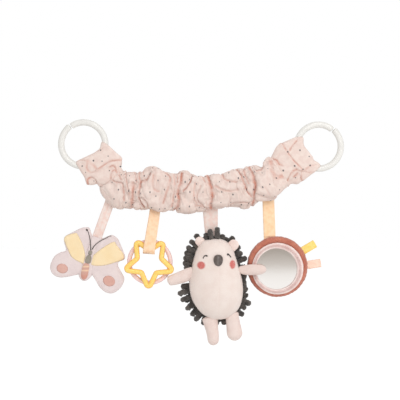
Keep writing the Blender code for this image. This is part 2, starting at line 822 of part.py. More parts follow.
def wing_panel(name, outline, way, finish, hinge):
    """One cloth face of a wing: flat inside, puffed outside; way is -1 at the front and 1 at the back."""
    inside = BUTTERFLY_Y + way * (WING_FILLING / 2 + CLEARANCE)
    layers = [(0.0, inside)]
    layers += [(WING_HEM * into, inside + way * WING_EDGE * proud) for into, proud in WING_LAYER_SHARES]
    layers.append((WING_HEM * WING_PUFF_SHARE, inside + way * WING_PUFF))
    rings = []
    for amount, depth in layers:
        rings.append([Vector((p.x, depth, p.z)) for p in inset_outline(outline, amount)])
    return place(name, loft(rings), finish, hinge)


def wing(side_name, shares, side):
    outline = wing_outline(shares, side)
    top, tail, down, aside = body_line()
    hinge = (outline[0] + outline[-1]) / 2 + Vector((0, BUTTERFLY_Y, 0))
    wing_panel(side_name + "_wing_front", outline, -1, MATERIALS["wing"], hinge)
    wing_panel(side_name + "_wing_back", outline, 1, MATERIALS["wing"], hinge)
    inner = inset_outline(outline, WING_HEM)
    half = WING_FILLING / 2
    rings = [[Vector((p.x, BUTTERFLY_Y + way * half, p.z)) for p in inner] for way in (-1, 1)]
    place(side_name + "_wing_filling", loft(rings), MATERIALS["filling"], hinge)
    print(side_name, "wing hinge", [round(v, 4) for v in hinge], "axis", [round(v, 4) for v in down])


# Star teether


def star_path(centre):
    """The star's middle line: five tips and five notches, each corner a short curve."""
    corners = []
    for index in range(10):
        radius = STAR_TIP_RADIUS if index % 2 == 0 else STAR_NOTCH_RADIUS
        corners.append(on_circle(centre, radius, math.radians(-90 + 36 * index)))
    path = []
    for index, corner in enumerate(corners):
        start = corner.lerp(corners[index - 1], STAR_CORNER_SHARE)
        end = corner.lerp(corners[(index + 1) % 10], STAR_CORNER_SHARE)
        bulge = corner + (corner - (start + end) / 2) * STAR_BULGE_SHARE
        for step in range(4):
            t = (step + 0.5) / 4
            path.append(start * (1 - t) ** 2 + bulge * 2 * t * (1 - t) + end * t**2)
    return path


def star_teether(notch_pivot):
    path = star_path(Vector((STAR_X, STAR_Y, STAR_Z)))
    bm = tube(path, [STAR_TUBE / 2] * len(path), closed=True)
    return place("star_teether", bm, MATERIALS["star"], notch_pivot)


def pink_ring_y():
    return STAR_Y + STAR_TUBE / 2 + PINK_RING_TUBE / 2 + CLEARANCE


def pink_ring():
    centre = Vector((STAR_X, pink_ring_y(), STAR_Z))
    circle = [on_circle(centre, PINK_RING_RADIUS, 2 * math.pi * n / RING_STEPS) for n in range(RING_STEPS)]
    bm = tube(circle, [PINK_RING_TUBE / 2] * RING_STEPS, closed=True)
    return place("pink_ring", bm, MATERIALS["pink_ring"], centre)


def star_strap(above, notch_z):
    """A ribbon doubled round the star's notch and the ring behind it."""
    half = RIBBON_THICKNESS / 2
    over = surface_of(above)
    shifts = [STAR_STRAP_WIDTH * share for share in (-0.5, -0.25, 0, 0.25, 0.5)]
    top_x = STAR_STRAP_TOP_X
    edges = (-half, half)
    rays = [Vector((top_x + shift, SEAM_BACK + side, -RAY_START)) for shift in shifts for side in edges]
    top_z = min(point.z for point in hits(over, rays, UPWARD)) - RIBBON_SEAM_GAP
    floor = notch_z - STAR_TUBE / 2 - CLEARANCE - half
    wide = STAR_LOOP_DEPTH / 2
    middle_y = (STAR_Y + pink_ring_y()) / 2
    sag = math.sqrt(1 - ((STAR_Y - middle_y) / wide) ** 2)
    bottom_depth = wide * 1.18
    belly_z = floor + bottom_depth * sag
    rise = top_z - half - belly_z
    lean = STAR_STRAP_TOP_X - STAR_X

    def side_points(way):
        points = []
        for step in range(9):
            share = step / 8
            ease = min(1.0, max(0.0, (share - 0.3) / 0.7))
            ease = ease * ease * (3 - 2 * ease)
            y = SEAM_BACK + (middle_y - SEAM_BACK) * ease + way * (half * 1.2 + (wide - half * 1.2) * ease)
            points.append(Vector((STAR_X + lean * (1 - share), y, top_z - half - rise * share)))
        return points

    front, back = side_points(-1), side_points(1)
    bowl = []
    for step in range(1, 8):
        angle = math.pi * step / 8
        y = middle_y - wide * math.cos(angle)
        bowl.append(Vector((STAR_X, y, belly_z - bottom_depth * math.sin(angle))))
    path = front + bowl + back[::-1]

    def half_width(point):
        share = min(1.0, max(0.0, (top_z - point.z) / (top_z - floor)))
        return Vector(((STAR_STRAP_WIDTH + (STAR_LOOP_WIDTH - STAR_STRAP_WIDTH) * share) / 2, 0, 0))

    hinge = Vector((STAR_STRAP_TOP_X, SEAM_BACK, top_z - half))
    print("star_strap top hinge", tuple(round(v, 4) for v in hinge))
    return folded_loop("star_strap", MATERIALS["peach_ribbon"], path, RIBBON_THICKNESS, half_width, hinge)


# Hedgehog


def body_row(share):
    """The body's middle and half width at a place down from the crown."""
    middle_x = HEDGEHOG_X + HEDGEHOG_LEAN * (share - HEDGEHOG_LEAN_SHARE)
    half = HEDGEHOG_WIDTH / 2 * share_at(BODY_WIDTH_SHARES, share)
    return Vector((middle_x, HEDGEHOG_Y, HEDGEHOG_CROWN_Z - HEDGEHOG_HEIGHT * share)), half


def body_half(way, depth, rows, columns):
    """Half of the stuffed body, from the seam outwards; way is -1 for the belly and 1 for the back."""
    rings = []
    for row in range(rows + 1):
        share = (1 - math.cos(math.pi * row / rows)) / 2 * ROW_EASE_SHARE + row / rows * (1 - ROW_EASE_SHARE)
        middle, half = body_row(share)
        seam = middle + Vector((0, way * CLEARANCE / 2, 0))
        deep = depth * 2 * half / HEDGEHOG_WIDTH
        ring = []
        for column in range(columns + 1):
            angle = math.pi * column / columns
            out = Vector((1, 0, 0)) * half * math.cos(angle) + Vector((0, way, 0)) * deep * math.sin(angle)
            ring.append(seam + out)
        rings.append(ring)
    return rings


def hedgehog_belly():
    return place("hedgehog_belly", loft(body_half(-1, BELLY_DEPTH, 13, 12)), MATERIALS["plush"])


def hedgehog_back(limbs):
    """The dark back with rows of tufted spikes drawn out of its own faces."""
    bm = loft(body_half(1, BACK_DEPTH, BACK_ROWS, BACK_COLUMNS))
    bmesh.ops.recalc_face_normals(bm, faces=bm.faces)
    bm.faces.ensure_lookup_table()
    chosen = []
    for index, face in enumerate(bm.faces[: BACK_ROWS * (BACK_COLUMNS + 1)]):
        row, column = divmod(index, BACK_COLUMNS + 1)
        rim = column in (0, BACK_COLUMNS - 1)
        if column < BACK_COLUMNS and 0 < row < BACK_ROWS - 1 and (rim or (row + column) % 2 == 0):
            chosen.append(face)
    for number, face in enumerate(chosen):
        middle = spike_line(face, number)
        if all(clear_of(middle, planned) for planned in limbs):
            draw_spike(bm, face, middle)
    return place("hedgehog_back", bm, MATERIALS["spikes"])


def clear_of(middle, planned):
    """Whether a spike's line stays out of the room that one limb needs."""
    root, way, _, sizes = planned
    room = max(sizes[:4]) / 2 + SPIKE_WIDTH / 2 + LIMB_ROOM
    for point in middle:
        along = min(max((point - root).dot(way), 0), sizes[4])
        if (root + way * along - point).length < room:
            return False
    return True


def spike_line(face, number):
    """The middle line of a spike that leaves the face squarely and droops a little."""
    centre = face.calc_center_median()
    out = face.normal.copy()
    upright = out.cross(UPWARD).normalized().cross(out)
    longer = ((number * 5) % 7) / 6
    length = SPIKE_LENGTH * (SPIKE_SHORT_SHARE * (1 - longer) + SPIKE_LONG_SHARE * longer)
    if out.x > 0:
        reach = HEDGEHOG_X + SPIKE_REACH + SPIKE_SPREAD_SHARE * max(0, SPIKE_SPREAD_Z - centre.z)
        length = min(length, (reach - centre.x) / out.x)
    swing = SPIKE_DROOP * (((number * 3) % 5) / 2 - 1)
    bend = upright * swing - UPWARD * SPIKE_DROOP / 2
    line = [centre + out * length * share + bend * share * share for share in SPIKE_PLACE_SHARES]
    return [centre.copy()] + line


def draw_spike(bm, face, middle):
    """Pull one face out into a tuft with a blunt end, along its middle line."""
    centre, out = face.calc_center_median(), face.normal.copy()
    offsets = [vertex.co - centre for vertex in face.verts]
    corners = [(offset - out * offset.dot(out)).normalized() for offset in offsets]
    for step, thick in zip(middle, SPIKE_WIDTH_SHARES):
        face = bmesh.ops.extrude_discrete_faces(bm, faces=[face])["faces"][0]
        for vertex, way in zip(face.verts, corners):
            vertex.co = step + way * SPIKE_WIDTH / 2 * thick


def limb(name, finish, centre, way, hinge_axis, sizes):
    """A stuffed limb: a root that is round about its hinge, a swell, and a rounded tip."""
    root_high, root_deep, tip_high, tip_deep = (size / 2 for size in sizes[:-1])
    length = sizes[-1]
    side = way.cross(hinge_axis).normalized()
    rings = []
    for turn in (-80, -55, -28):
        lean = math.radians(turn)
        shrink = math.cos(lean)
        point = centre + way * root_deep * math.sin(lean)
        rings.append(oval(point, hinge_axis * root_high * shrink, side * root_deep * shrink, LIMB_SIDES))
    straight = length - tip_deep
    for share, ease in LIMB_SHARES:
        high = root_high + (tip_high - root_high) * ease
        deep = root_deep + (tip_deep - root_deep) * ease
        rings.append(oval(centre + way * straight * share, hinge_axis * high, side * deep, LIMB_SIDES))
    for turn in (32, 60, 82):
        lean = math.radians(turn)
        shrink = math.cos(lean)
        point = centre + way * (straight + tip_deep * math.sin(lean))
        rings.append(oval(point, hinge_axis * tip_high * shrink, side * tip_deep * shrink, LIMB_SIDES))
    print(name, "hinge", tuple(round(v, 4) for v in centre), "axis", tuple(round(v, 4) for v in hinge_axis))
    return place(name, loft(rings), finish, centre)


def socket(name, centre, way, hinge_axis, sizes):
    """The hollow that a limb's round root sits in."""
    side = way.cross(hinge_axis).normalized()
    room = CLEARANCE * 1.2
    wide = (sizes[0] / 2 + room) / math.cos(math.pi / SOCKET_SIDES)
    deep = (sizes[1] / 2 + room) / math.cos(math.pi / SOCKET_SIDES)
    bm = bmesh.new()
    bmesh.ops.create_uvsphere(bm, u_segments=SOCKET_SIDES, v_segments=SOCKET_SIDES // 2, radius=1)
    turn = Matrix((side * deep, way * deep, hinge_axis * wide)).transposed().to_4x4()
    bm.transform(Matrix.Translation(centre) @ turn)
    return guide(name + "_socket", bm)


def limb_plan():
    """Where each limb's root is, which way it points, the axis that it turns about and its sizes."""
    plan = {}
    for name, drop, hand, sizes in (
        ("left_arm", LEFT_ARM_DROP, -1, LEFT_ARM_SIZES),
        ("right_arm", RIGHT_ARM_DROP, 1, RIGHT_ARM_SIZES),
    ):
        middle, half = body_row(drop / HEDGEHOG_HEIGHT)
        root = middle + Vector((hand * (half + sizes[1] / 2 * SOCKET_SHARE), -ARM_FORWARD, 0))
        if hand < 0:
            way = Vector((-math.cos(LEFT_ARM_SLOPE), 0, -math.sin(LEFT_ARM_SLOPE)))
        else:
            way = Vector((math.cos(RIGHT_ARM_REACH), -math.sin(RIGHT_ARM_REACH), 0))
        axis = Vector((way.z, 0, -way.x)).normalized() if hand < 0 else UPWARD.copy()
        plan[name] = (root, way, axis, sizes)
    for name, hand, sizes in (("left_leg", -1, LEFT_LEG_SIZES), ("right_leg", 1, RIGHT_LEG_SIZES)):
        x = HEDGEHOG_X + LEG_CENTRE_SHIFT + hand * LEG_SPREAD / 2
        low = next(
            body_row(n / 200)[0].z
            for n in range(199, 0, -1)
            if body_row(n / 200)[1] > abs(x - body_row(n / 200)[0].x)
        )
        root = Vector((x, HEDGEHOG_Y - LEG_FORWARD, low - sizes[1] / 2 * SOCKET_SHARE))
        plan[name] = (root, Vector((math.sin(LEG_SPLAY), 0, -math.cos(LEG_SPLAY))), Vector((1, 0, 0)), sizes)
    for name, drop, angle, sizes in (
        ("left_ear", LEFT_EAR_DROP, LEFT_EAR_ANGLE, LEFT_EAR_SIZES),
        ("right_ear", RIGHT_EAR_DROP, RIGHT_EAR_ANGLE, RIGHT_EAR_SIZES),
    ):
        middle, half = body_row(drop / HEDGEHOG_HEIGHT)
        hand = 1 if math.cos(angle) > 0 else -1
        way = Vector((math.cos(angle), 0, math.sin(angle)))
        root = middle + Vector((hand * half, 0, 0)) + way * sizes[1] / 2 * SOCKET_SHARE
        plan[name] = (root, way, Vector((-way.z, 0, way.x)), sizes)
    return plan


def hedgehog():
    plan = limb_plan()
    belly, back = hedgehog_belly(), hedgehog_back(plan.values())
    for name, (root, way, axis, sizes) in plan.items():
        finish = MATERIALS["ear"] if name.endswith("ear") else MATERIALS["limb"]
        limb(name, finish, root, way, axis, sizes)
        hollow = socket(name, root, way, axis, sizes)
        cut(belly, hollow)
        cut(back, hollow)
    face = hits(surface_of(belly), [Vector((HEDGEHOG_X + NOSE_SHIFT_X, -RAY_START, NOSE_Z))], -FRONTWARD)[0]
    bm = bmesh.new()
    bmesh.ops.create_uvsphere(bm, u_segments=14, v_segments=9, radius=1)
    scale = Matrix.Diagonal((NOSE_WIDTH / 2, NOSE_DEPTH / 2, NOSE_HEIGHT / 2, 1))
    bm.transform(Matrix.Translation(face) @ scale)
    nose = place("nose", bm, MATERIALS["nose"], face)
    cut(nose, grown(belly, CLEARANCE))
    return back


# Mirror toy


def mirror_pad():
    """A round pad in two padded halves, a ring on its front, and the mirror held under the ring's lip."""
    pad = Vector((MIRROR_PAD_X, 0, MIRROR_PAD_Z))
    glass = pad - Vector((MIRROR_SHIFT_X, 0, MIRROR_SHIFT_Z))
    radius, front = MIRROR_PAD_DIAMETER / 2, MIRROR_PAD_FRONT
    seam = front + MIRROR_PAD_DEPTH / 2
    half = MIRROR_PAD_DEPTH / 2
    hole = MIRROR_DIAMETER / 2 + CLEARANCE
    bezel_seat = BEZEL_DIAMETER / 2
    pivot = Vector((MIRROR_PAD_X, seam, MIRROR_PAD_Z + radius))
    near, far = seam - CLEARANCE / 2, seam + CLEARANCE / 2
    rim = [(pad, radius - half * (1 - math.sin(turn)), seam - half * math.cos(turn)) for turn in
           (math.radians(a) for a in (12, 40, 66))]
    rings = [(glass, hole, near), (glass, hole, front), (glass, bezel_seat, front), *rim, (pad, radius, near)]
    place("mirror_pad_front", turned(rings), MATERIALS["velour"], pivot)
    boss_front = front + MIRROR_THICKNESS + CLEARANCE
    boss = MIRROR_DIAMETER / 2 - CLEARANCE
    back_rim = [(pad, radius - half * (1 - math.sin(turn)), seam + half * math.cos(turn)) for turn in
                (math.radians(a) for a in (66, 40, 14))]
    rings = [(glass, 0, boss_front), (glass, boss, boss_front), (glass, boss, far), (pad, radius, far)]
    rings += back_rim
    rings += [(pad, radius * out, seam + half * high) for out, high in PAD_DOME_SHARES]
    back = place("mirror_pad_back", turned(rings), MATERIALS["velour"], pivot)
    window, seat = MIRROR_WINDOW / 2, front - CLEARANCE
    middle, wide = (window + bezel_seat) / 2, (bezel_seat - window) / 2
    rings = [(glass, window, seat), (glass, window, seat - BEZEL_DEPTH * BEZEL_EDGE_SHARE)]
    for turn in (45, 90, 135):
        lean = math.radians(turn)
        crown = BEZEL_CROWN_SHARE + (1 - BEZEL_CROWN_SHARE) * math.sin(lean)
        rings.append((glass, middle - wide * BEZEL_ROUND_SHARE * math.cos(lean), seat - BEZEL_DEPTH * crown))
    rings += [(glass, bezel_seat, seat - BEZEL_DEPTH * BEZEL_EDGE_SHARE), (glass, bezel_seat, seat)]
    place("mirror_bezel", turned(rings), MATERIALS["bezel"], pivot)
    rings = [(glass, 0, front), (glass, MIRROR_DIAMETER / 2, front),
             (glass, MIRROR_DIAMETER / 2, front + MIRROR_THICKNESS), (glass, 0, front + MIRROR_THICKNESS)]
    place("mirror_disc", turned(rings), MATERIALS["mirror"], pivot)
    return back


def tag(name, angle, finish):
    """A short ribbon folded in half, its raw ends at the pad's seam."""
    out = Vector((math.cos(angle), 0, math.sin(angle)))
    tangent = Vector((-out.z, 0, out.x))
    seam = MIRROR_PAD_FRONT + MIRROR_PAD_DEPTH / 2
    root = MIRROR_PAD_DIAMETER / 2 + CLEARANCE + TAG_THICKNESS / 2
    middle = Vector((MIRROR_PAD_X, seam, MIRROR_PAD_Z))
    spread = (TAG_OPENING + TAG_THICKNESS) / 2
    tip = root + TAG_LENGTH - spread
    profile = []
    for share, open_share in ((0.0, 0.42), (0.2, 0.5), (0.5, 0.85), (0.8, 1.0)):
        profile.append((root + (tip - root) * share, -spread * open_share))
    for turn in (-60, -20, 20, 60):
        lean = math.radians(turn)
        profile.append((tip + spread * math.cos(lean), spread * math.sin(lean)))
    for share, open_share in ((0.8, 1.0), (0.5, 0.85), (0.2, 0.5), (0.0, 0.42)):
        profile.append((root + (tip - root) * share, spread * open_share))
    path = [middle + out * far + Vector((0, depth, 0)) for far, depth in profile]
    pivot = middle + out * root
    print(name, "hinge", tuple(round(v, 4) for v in pivot), "axis", tuple(round(v, 4) for v in tangent))
    return folded_loop(name, finish, path, TAG_THICKNESS, lambda point: tangent * TAG_WIDTH / 2, pivot)


def clear_scene():
    for item in list(bpy.data.objects):
        bpy.data.objects.remove(item, do_unlink=True)


clear_scene()
MATERIALS = {
    "guide": material("guide", (128, 128, 128), 0.5),
    "ring": material("milky_plastic", (243, 242, 238), 0.32),
    "sleeve": material("dotted_cotton", (238, 222, 214), 0.9),
    "elastic": material("elastic_webbing", (245, 243, 238), 0.85),
    "pale_ribbon": material("pale_pink_ribbon", (246, 224, 217), 0.7),
    "peach_ribbon": material("peach_ribbon", (252, 219, 186), 0.65),
    "apricot_ribbon": material("apricot_ribbon", (252, 222, 180), 0.65),
    "butterfly_body": material("grey_brushed_cotton", (165, 158, 148), 0.9),
    "wing": material("lilac_brushed_cotton", (231, 218, 216), 0.92),
    "filling": material("white_wadding", (244, 243, 240), 0.95),
    "star": material("yellow_silicone", (252, 214, 110), 0.45),
    "pink_ring": material("pink_silicone", (240, 195, 188), 0.35),
    "plush": material("blush_plush", (240, 225, 218), 0.95),
    "limb": material("pink_plush", (241, 220, 211), 0.95),
    "ear": material("ear_plush", (242, 222, 214), 0.95),
    "spikes": material("grey_chenille", (72, 70, 67), 1.0),
    "nose": material("grey_satin", (104, 100, 102), 0.4),
    "velour": material("terracotta_velour", (190, 108, 86), 0.95),
    "bezel": material("stitched_pink_rim", (230, 213, 210), 0.85),
    "mirror": material("soft_mirror", (225, 222, 220), 0.12, 1.0),
    "yellow_tag": material("yellow_ribbon", (252, 225, 122), 0.6),
    "pink_tag": material("peach_tag_ribbon", (250, 217, 196), 0.65),
}

split_ring("left_ring", LEFT_RING_CENTRE, LEFT_SPLIT_ANGLE, 1)
split_ring("right_ring", RIGHT_RING_CENTRE, RIGHT_SPLIT_ANGLE, -1)
cuff("left_cuff", LEFT_RING_CENTRE, LEFT_CUFF_ANGLE, LEFT_NECK_WIDTH)
cuff("right_cuff", RIGHT_RING_CENTRE, RIGHT_CUFF_ANGLE, RIGHT_NECK_WIDTH)
sleeve_object = sleeve()
elastic_band()

butterfly = butterfly_body()
wing("left", LEFT_WING_SHARES, -1)
wing("right", RIGHT_WING_SHARES, 1)
neck_point = butterfly_point((NECK_X_SHARE, NECK_Z_SHARE))
strap(
    "butterfly_strap", MATERIALS["pale_ribbon"], BUTTERFLY_STRAP_WIDTH, (BUTTERFLY_STRAP_TOP_X, SEAM_BACK),
    (neck_point.x, BUTTERFLY_Y), sleeve_object, butterfly,
)

notch = STAR_Z + STAR_NOTCH_RADIUS
star_teether(Vector((STAR_X, STAR_Y, notch + STAR_TILT_LIFT)))
pink_ring()
star_strap(sleeve_object, notch)

back_panel = hedgehog()
strap(
    "hedgehog_strap", MATERIALS["pale_ribbon"], HEDGEHOG_STRAP_WIDTH, (HEDGEHOG_STRAP_TOP_X, SEAM_BACK),
    (HEDGEHOG_X - HEDGEHOG_LEAN, HEDGEHOG_Y + HEDGEHOG_STRAP_BACK), sleeve_object, back_panel,
)

pad_back = mirror_pad()
strap(
    "mirror_strap", MATERIALS["apricot_ribbon"], MIRROR_STRAP_WIDTH, (MIRROR_STRAP_TOP_X, MIRROR_SEAM_BACK),
    (MIRROR_PAD_X - MIRROR_STRAP_WIDTH / 2, MIRROR_PAD_FRONT + MIRROR_PAD_DEPTH / 2), sleeve_object, pad_back,
)
tag("yellow_tag", YELLOW_TAG_ANGLE, MATERIALS["yellow_tag"])
tag("pink_tag", PINK_TAG_ANGLE, MATERIALS["pink_tag"])
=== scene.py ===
# %% [markdown]
# # A pram chain toy, dressed
#
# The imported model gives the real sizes, the bodies and the joints. This script dresses it: each soft
# node is replaced by the sewn, stuffed or moulded piece that it stands for, in the same place.

import math
import random

import bmesh
import bpy
import numpy as np
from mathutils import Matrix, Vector, noise
from mathutils.bvhtree import BVHTree
from mathutils.geometry import delaunay_2d_cdt


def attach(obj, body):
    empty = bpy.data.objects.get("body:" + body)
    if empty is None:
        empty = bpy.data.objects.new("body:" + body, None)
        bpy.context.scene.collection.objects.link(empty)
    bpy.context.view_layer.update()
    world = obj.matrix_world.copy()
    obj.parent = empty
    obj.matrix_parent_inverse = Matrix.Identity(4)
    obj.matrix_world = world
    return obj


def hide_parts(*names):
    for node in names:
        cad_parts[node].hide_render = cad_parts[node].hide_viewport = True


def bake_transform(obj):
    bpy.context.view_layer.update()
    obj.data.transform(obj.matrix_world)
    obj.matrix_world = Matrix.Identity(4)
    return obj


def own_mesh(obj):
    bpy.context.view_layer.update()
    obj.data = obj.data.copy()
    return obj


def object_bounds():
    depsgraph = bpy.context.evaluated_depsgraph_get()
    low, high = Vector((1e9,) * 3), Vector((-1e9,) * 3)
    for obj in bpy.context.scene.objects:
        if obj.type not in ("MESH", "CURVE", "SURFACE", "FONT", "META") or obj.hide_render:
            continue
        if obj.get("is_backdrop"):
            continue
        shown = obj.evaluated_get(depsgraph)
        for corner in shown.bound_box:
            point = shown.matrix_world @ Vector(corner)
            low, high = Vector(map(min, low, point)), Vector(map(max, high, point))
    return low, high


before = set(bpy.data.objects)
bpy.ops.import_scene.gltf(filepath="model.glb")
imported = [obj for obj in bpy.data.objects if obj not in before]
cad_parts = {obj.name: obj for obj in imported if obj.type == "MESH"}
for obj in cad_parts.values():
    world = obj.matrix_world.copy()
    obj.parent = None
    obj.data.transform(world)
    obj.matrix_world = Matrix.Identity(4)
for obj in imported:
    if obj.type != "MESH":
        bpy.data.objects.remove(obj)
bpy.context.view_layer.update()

# %% [markdown]
# ## Camera
#
# The photograph was taken from straight ahead with a long lens: the two rings look equally round.
# One of its pixels is 1.3 mm on the object. The camera stands where that holds for the plane of the
# rings, and `plan` turns measured pixels into places at a given depth for this camera.

# %% Camera
MM = 0.001
PIXEL = 1.3 * MM
CAMERA_DISTANCE = 1.444
PICTURE_CENTRE = (200, 200)
VIEW_CENTRE = (-1.3 * MM, -70.85 * MM)

camera_data = bpy.data.cameras.new("camera")
camera_data.lens, camera_data.sensor_width = 100, 36
camera_data.clip_start, camera_data.clip_end = 0.05, 20
camera = bpy.data.objects.new("camera", camera_data)
camera.location = (VIEW_CENTRE[0], -CAMERA_DISTANCE, VIEW_CENTRE[1])
camera.rotation_euler = (math.radians(90), 0, 0)
bpy.context.scene.collection.objects.link(camera)
bpy.context.scene.camera = camera


def plan(pixels, depth=0.0):
    """Measured pixels as places (x, z) in metres, on the upright plane at that depth."""
    pixels = np.asarray(pixels, float).reshape(-1, 2)
    reach = (CAMERA_DISTANCE + depth) / CAMERA_DISTANCE * PIXEL
    x = VIEW_CENTRE[0] + (pixels[:, 0] - PICTURE_CENTRE[0]) * reach
    z = VIEW_CENTRE[1] - (pixels[:, 1] - PICTURE_CENTRE[1]) * reach
    return np.column_stack([x, z])


def spot(x, y, depth=0.0):
    """One measured pixel as a point at that depth."""
    (px, pz), = plan([(x, y)], depth)
    return np.array([px, depth, pz])


print("camera", [round(v, 4) for v in camera.location])

# %% [markdown]
# ## Smooth lines
#
# Most forms here are a line with a cross-section that changes along it. A Blender curve could hold such
# a line, but points in an array can be measured and moved before a mesh is made of them.

# %% Smooth lines


def unit(vectors):
    """The same directions, each with a length of 1."""
    return vectors / np.maximum(np.linalg.norm(vectors, axis=-1, keepdims=True), 1e-12)


def run_along(path):
    """How far along a path each of its points lies."""
    return np.r_[0, np.cumsum(np.linalg.norm(np.diff(path, axis=0), axis=1))]


def hill(off, width):
    """A smooth hill, 1 where off is 0, and nearly nothing past twice the width."""
    return np.exp(-(off / width) ** 2)


def filled(values, count):
    """Values at even steps, filled in for that many rows."""
    return np.interp(np.linspace(0, 1, count), np.linspace(0, 1, len(values)), values)


def smooth_line(points, count, closed=False):
    """A smooth line through the points, as that many evenly spaced places."""
    p = np.asarray(points, float)
    spans = len(p) if closed else len(p) - 1
    before, after = (p[-1:], p[:2]) if closed else (2 * p[:1] - p[1:2], 2 * p[-1:] - p[-2:-1])
    p = np.vstack([before, p, after])
    t = np.linspace(0, 1, 24, endpoint=False)[:, None]
    parts = []
    for a, b, c, d in (p[i:i + 4] for i in range(spans)):
        curve = 2 * b + (c - a) * t + (2 * a - 5 * b + 4 * c - d) * t ** 2 + (3 * b - a - 3 * c + d) * t ** 3
        parts.append(curve / 2)
    line = np.vstack(parts + [p[spans + 1:spans + 2]])
    return even(line, count, closed)


def even(line, count, closed=False):
    """The same line as that many evenly spaced places; a closed one ends where it begins."""
    run = run_along(line)
    at = np.linspace(0, run[-1], count, endpoint=not closed)
    return np.column_stack([np.interp(at, run, line[:, k]) for k in range(line.shape[1])])


print("line tools ready")

# %% [markdown]
# ## Rings of points and their faces
#
# A stuffed roll or a tube is a row of rings round its middle line, each a little wider or flatter than
# the last. Blender can also sweep a bevel along a curve, but rings give every place its own width and
# depth, and their points keep a known order, which the values for the materials need.

# %% Rings of points and their faces


def rings_along(path, wide, deep=None, sides=20, closed=False, lead=(0, 1, 0), power=2.0):
    """Rings of points round a path. Wide is the half size square to lead, and deep the half size along it."""
    path = np.asarray(path, float)
    deep = wide if deep is None else deep
    wide = np.broadcast_to(wide, len(path))[:, None, None]
    deep = np.broadcast_to(deep, len(path))[:, None, None]
    run = np.roll(path, -1, 0) - np.roll(path, 1, 0) if closed else np.gradient(path, axis=0)
    run = unit(run)
    side = unit(np.cross(run, np.asarray(lead, float)))
    up = np.cross(side, run)
    angle = np.arange(sides) * math.tau / sides
    cos, sin = np.cos(angle), np.sin(angle)
    cos = np.sign(cos) * np.abs(cos) ** (2 / power)
    sin = np.sign(sin) * np.abs(sin) ** (2 / power)
    return path[:, None] + side[:, None] * wide * cos[None, :, None] + up[:, None] * deep * sin[None, :, None]


def ring_faces(rows, columns, closed=False):
    """The faces between rings, with the two end rings filled where the line is open."""
    faces = []
    for r in range(rows if closed else rows - 1):
        a, b = r * columns, (r + 1) % rows * columns
        faces += [(a + c, a + (c + 1) % columns, b + (c + 1) % columns, b + c) for c in range(columns)]
    if not closed:
        faces += [tuple(range(columns))[::-1], tuple((rows - 1) * columns + c for c in range(columns))]
    return faces


def skin(rings, closed=False):
    """Rings with the faces between them."""
    return rings, ring_faces(*rings.shape[:2], closed)


print("ring tools ready")

# %% [markdown]
# ## Pieces from points
#
# Each piece becomes one mesh. It takes the place of the CAD nodes that it stands for, and where a body is
# named it rides on it, so it moves with the joints. Values given to its points, such as how deep in a
# crease one lies, are attributes that a material can read. Where a piece has no such attribute, the
# material reads 0.

# %% Pieces from points


def make(name, vertices, faces, finish, body=None, nodes=(), slot=False):
    """One piece as a smooth mesh that stands for CAD nodes, riding on a body where one is named."""
    mesh = bpy.data.meshes.new(name)
    mesh.from_pydata(np.asarray(vertices, float).reshape(-1, 3).tolist(), [], [list(f) for f in faces])
    bm = bmesh.new()
    bm.from_mesh(mesh)
    bmesh.ops.recalc_face_normals(bm, faces=bm.faces)
    bm.to_mesh(mesh)
    bm.free()
    mesh.shade_smooth()
    piece = bpy.data.objects.new(name, mesh)
    bpy.context.scene.collection.objects.link(piece)
    if finish is not None:
        mesh.materials.append(finish)
    if nodes:
        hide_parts(*nodes)
    if body:
        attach(piece, body)
    return piece


def tube(name, path, wide, finish, deep=None, sides=20, closed=False, power=2.0, **facts):
    """A closed or open tube along a path. The facts go to make."""
    rings = rings_along(path, wide, deep, sides, closed, power=power)
    return make(name, *skin(rings, closed), finish, **facts)


def many(shapes):
    """Several (vertices, faces) as one."""
    vertices, faces, start = [], [], 0
    for points, corners in shapes:
        points = np.asarray(points, float).reshape(-1, 3)
        vertices.append(points)
        faces += [tuple(start + c for c in face) for face in corners]
        start += len(points)
    return np.vstack(vertices), faces


print("piece tools ready")

# %% [markdown]
# ## Points of a piece
#
# A cut cloth has lumps, a stitched thread lies on what is under it, and a material may need a value for
# each point. A modifier could do some of this, but then no later piece could measure the result.

# %% Points of a piece


def round_ends(count, share):
    """How a rod's thickness falls off to nothing at both ends, over that share of its length."""
    along = np.linspace(0, 1, count)
    near = np.clip(np.minimum(along, 1 - along) / share, 0, 1)
    return np.sqrt(np.maximum(1 - (1 - near) ** 2, 0.0009))


def give(piece, name, values):
    """A number, or a place, for each vertex, for the material to read."""
    values = np.asarray(values, np.float32)
    kind, field = ("FLOAT", "value") if values.ndim == 1 else ("FLOAT_VECTOR", "vector")
    piece.data.attributes.new(name, kind, "POINT").data.foreach_set(field, values.ravel())


def bump_noise(points, size, seed=0.0):
    """Smooth noise from -1 to 1 at each point, with lumps of about that size."""
    shift = Vector((seed, seed * 0.7, -seed))
    return np.array([noise.noise(Vector(p) / size + shift) for p in np.asarray(points).reshape(-1, 3)])


def flat_noise(places, size, seed):
    """The same for places (x, z)."""
    return bump_noise(np.column_stack([places, 0 * places[:, 0]]), size, seed)


def points_of(piece):
    found = np.empty(len(piece.data.vertices) * 3)
    piece.data.vertices.foreach_get("co", found)
    return found.reshape(-1, 3)


def put(piece, places):
    """Move a piece's points to these places."""
    piece.data.vertices.foreach_set("co", places.ravel())
    piece.data.update()


def surface_of(piece):
    """A piece's surface, for laying other things on it."""
    corners = [tuple(face.vertices) for face in piece.data.polygons]
    return BVHTree.FromPolygons([tuple(p) for p in points_of(piece)], corners)


def laid(tree, places, lift=0.0):
    """Points on a surface, seen from in front at places (x, z), lifted off it a little."""
    found = []
    for x, z in places:
        hit, normal, _, _ = tree.ray_cast(Vector((x, -1, z)), Vector((0, 1, 0)))
        if hit is not None:
            normal = normal if normal.y < 0 else -normal
            found.append(np.array(hit + normal * lift))
    return np.array(found)


print("point tools ready")

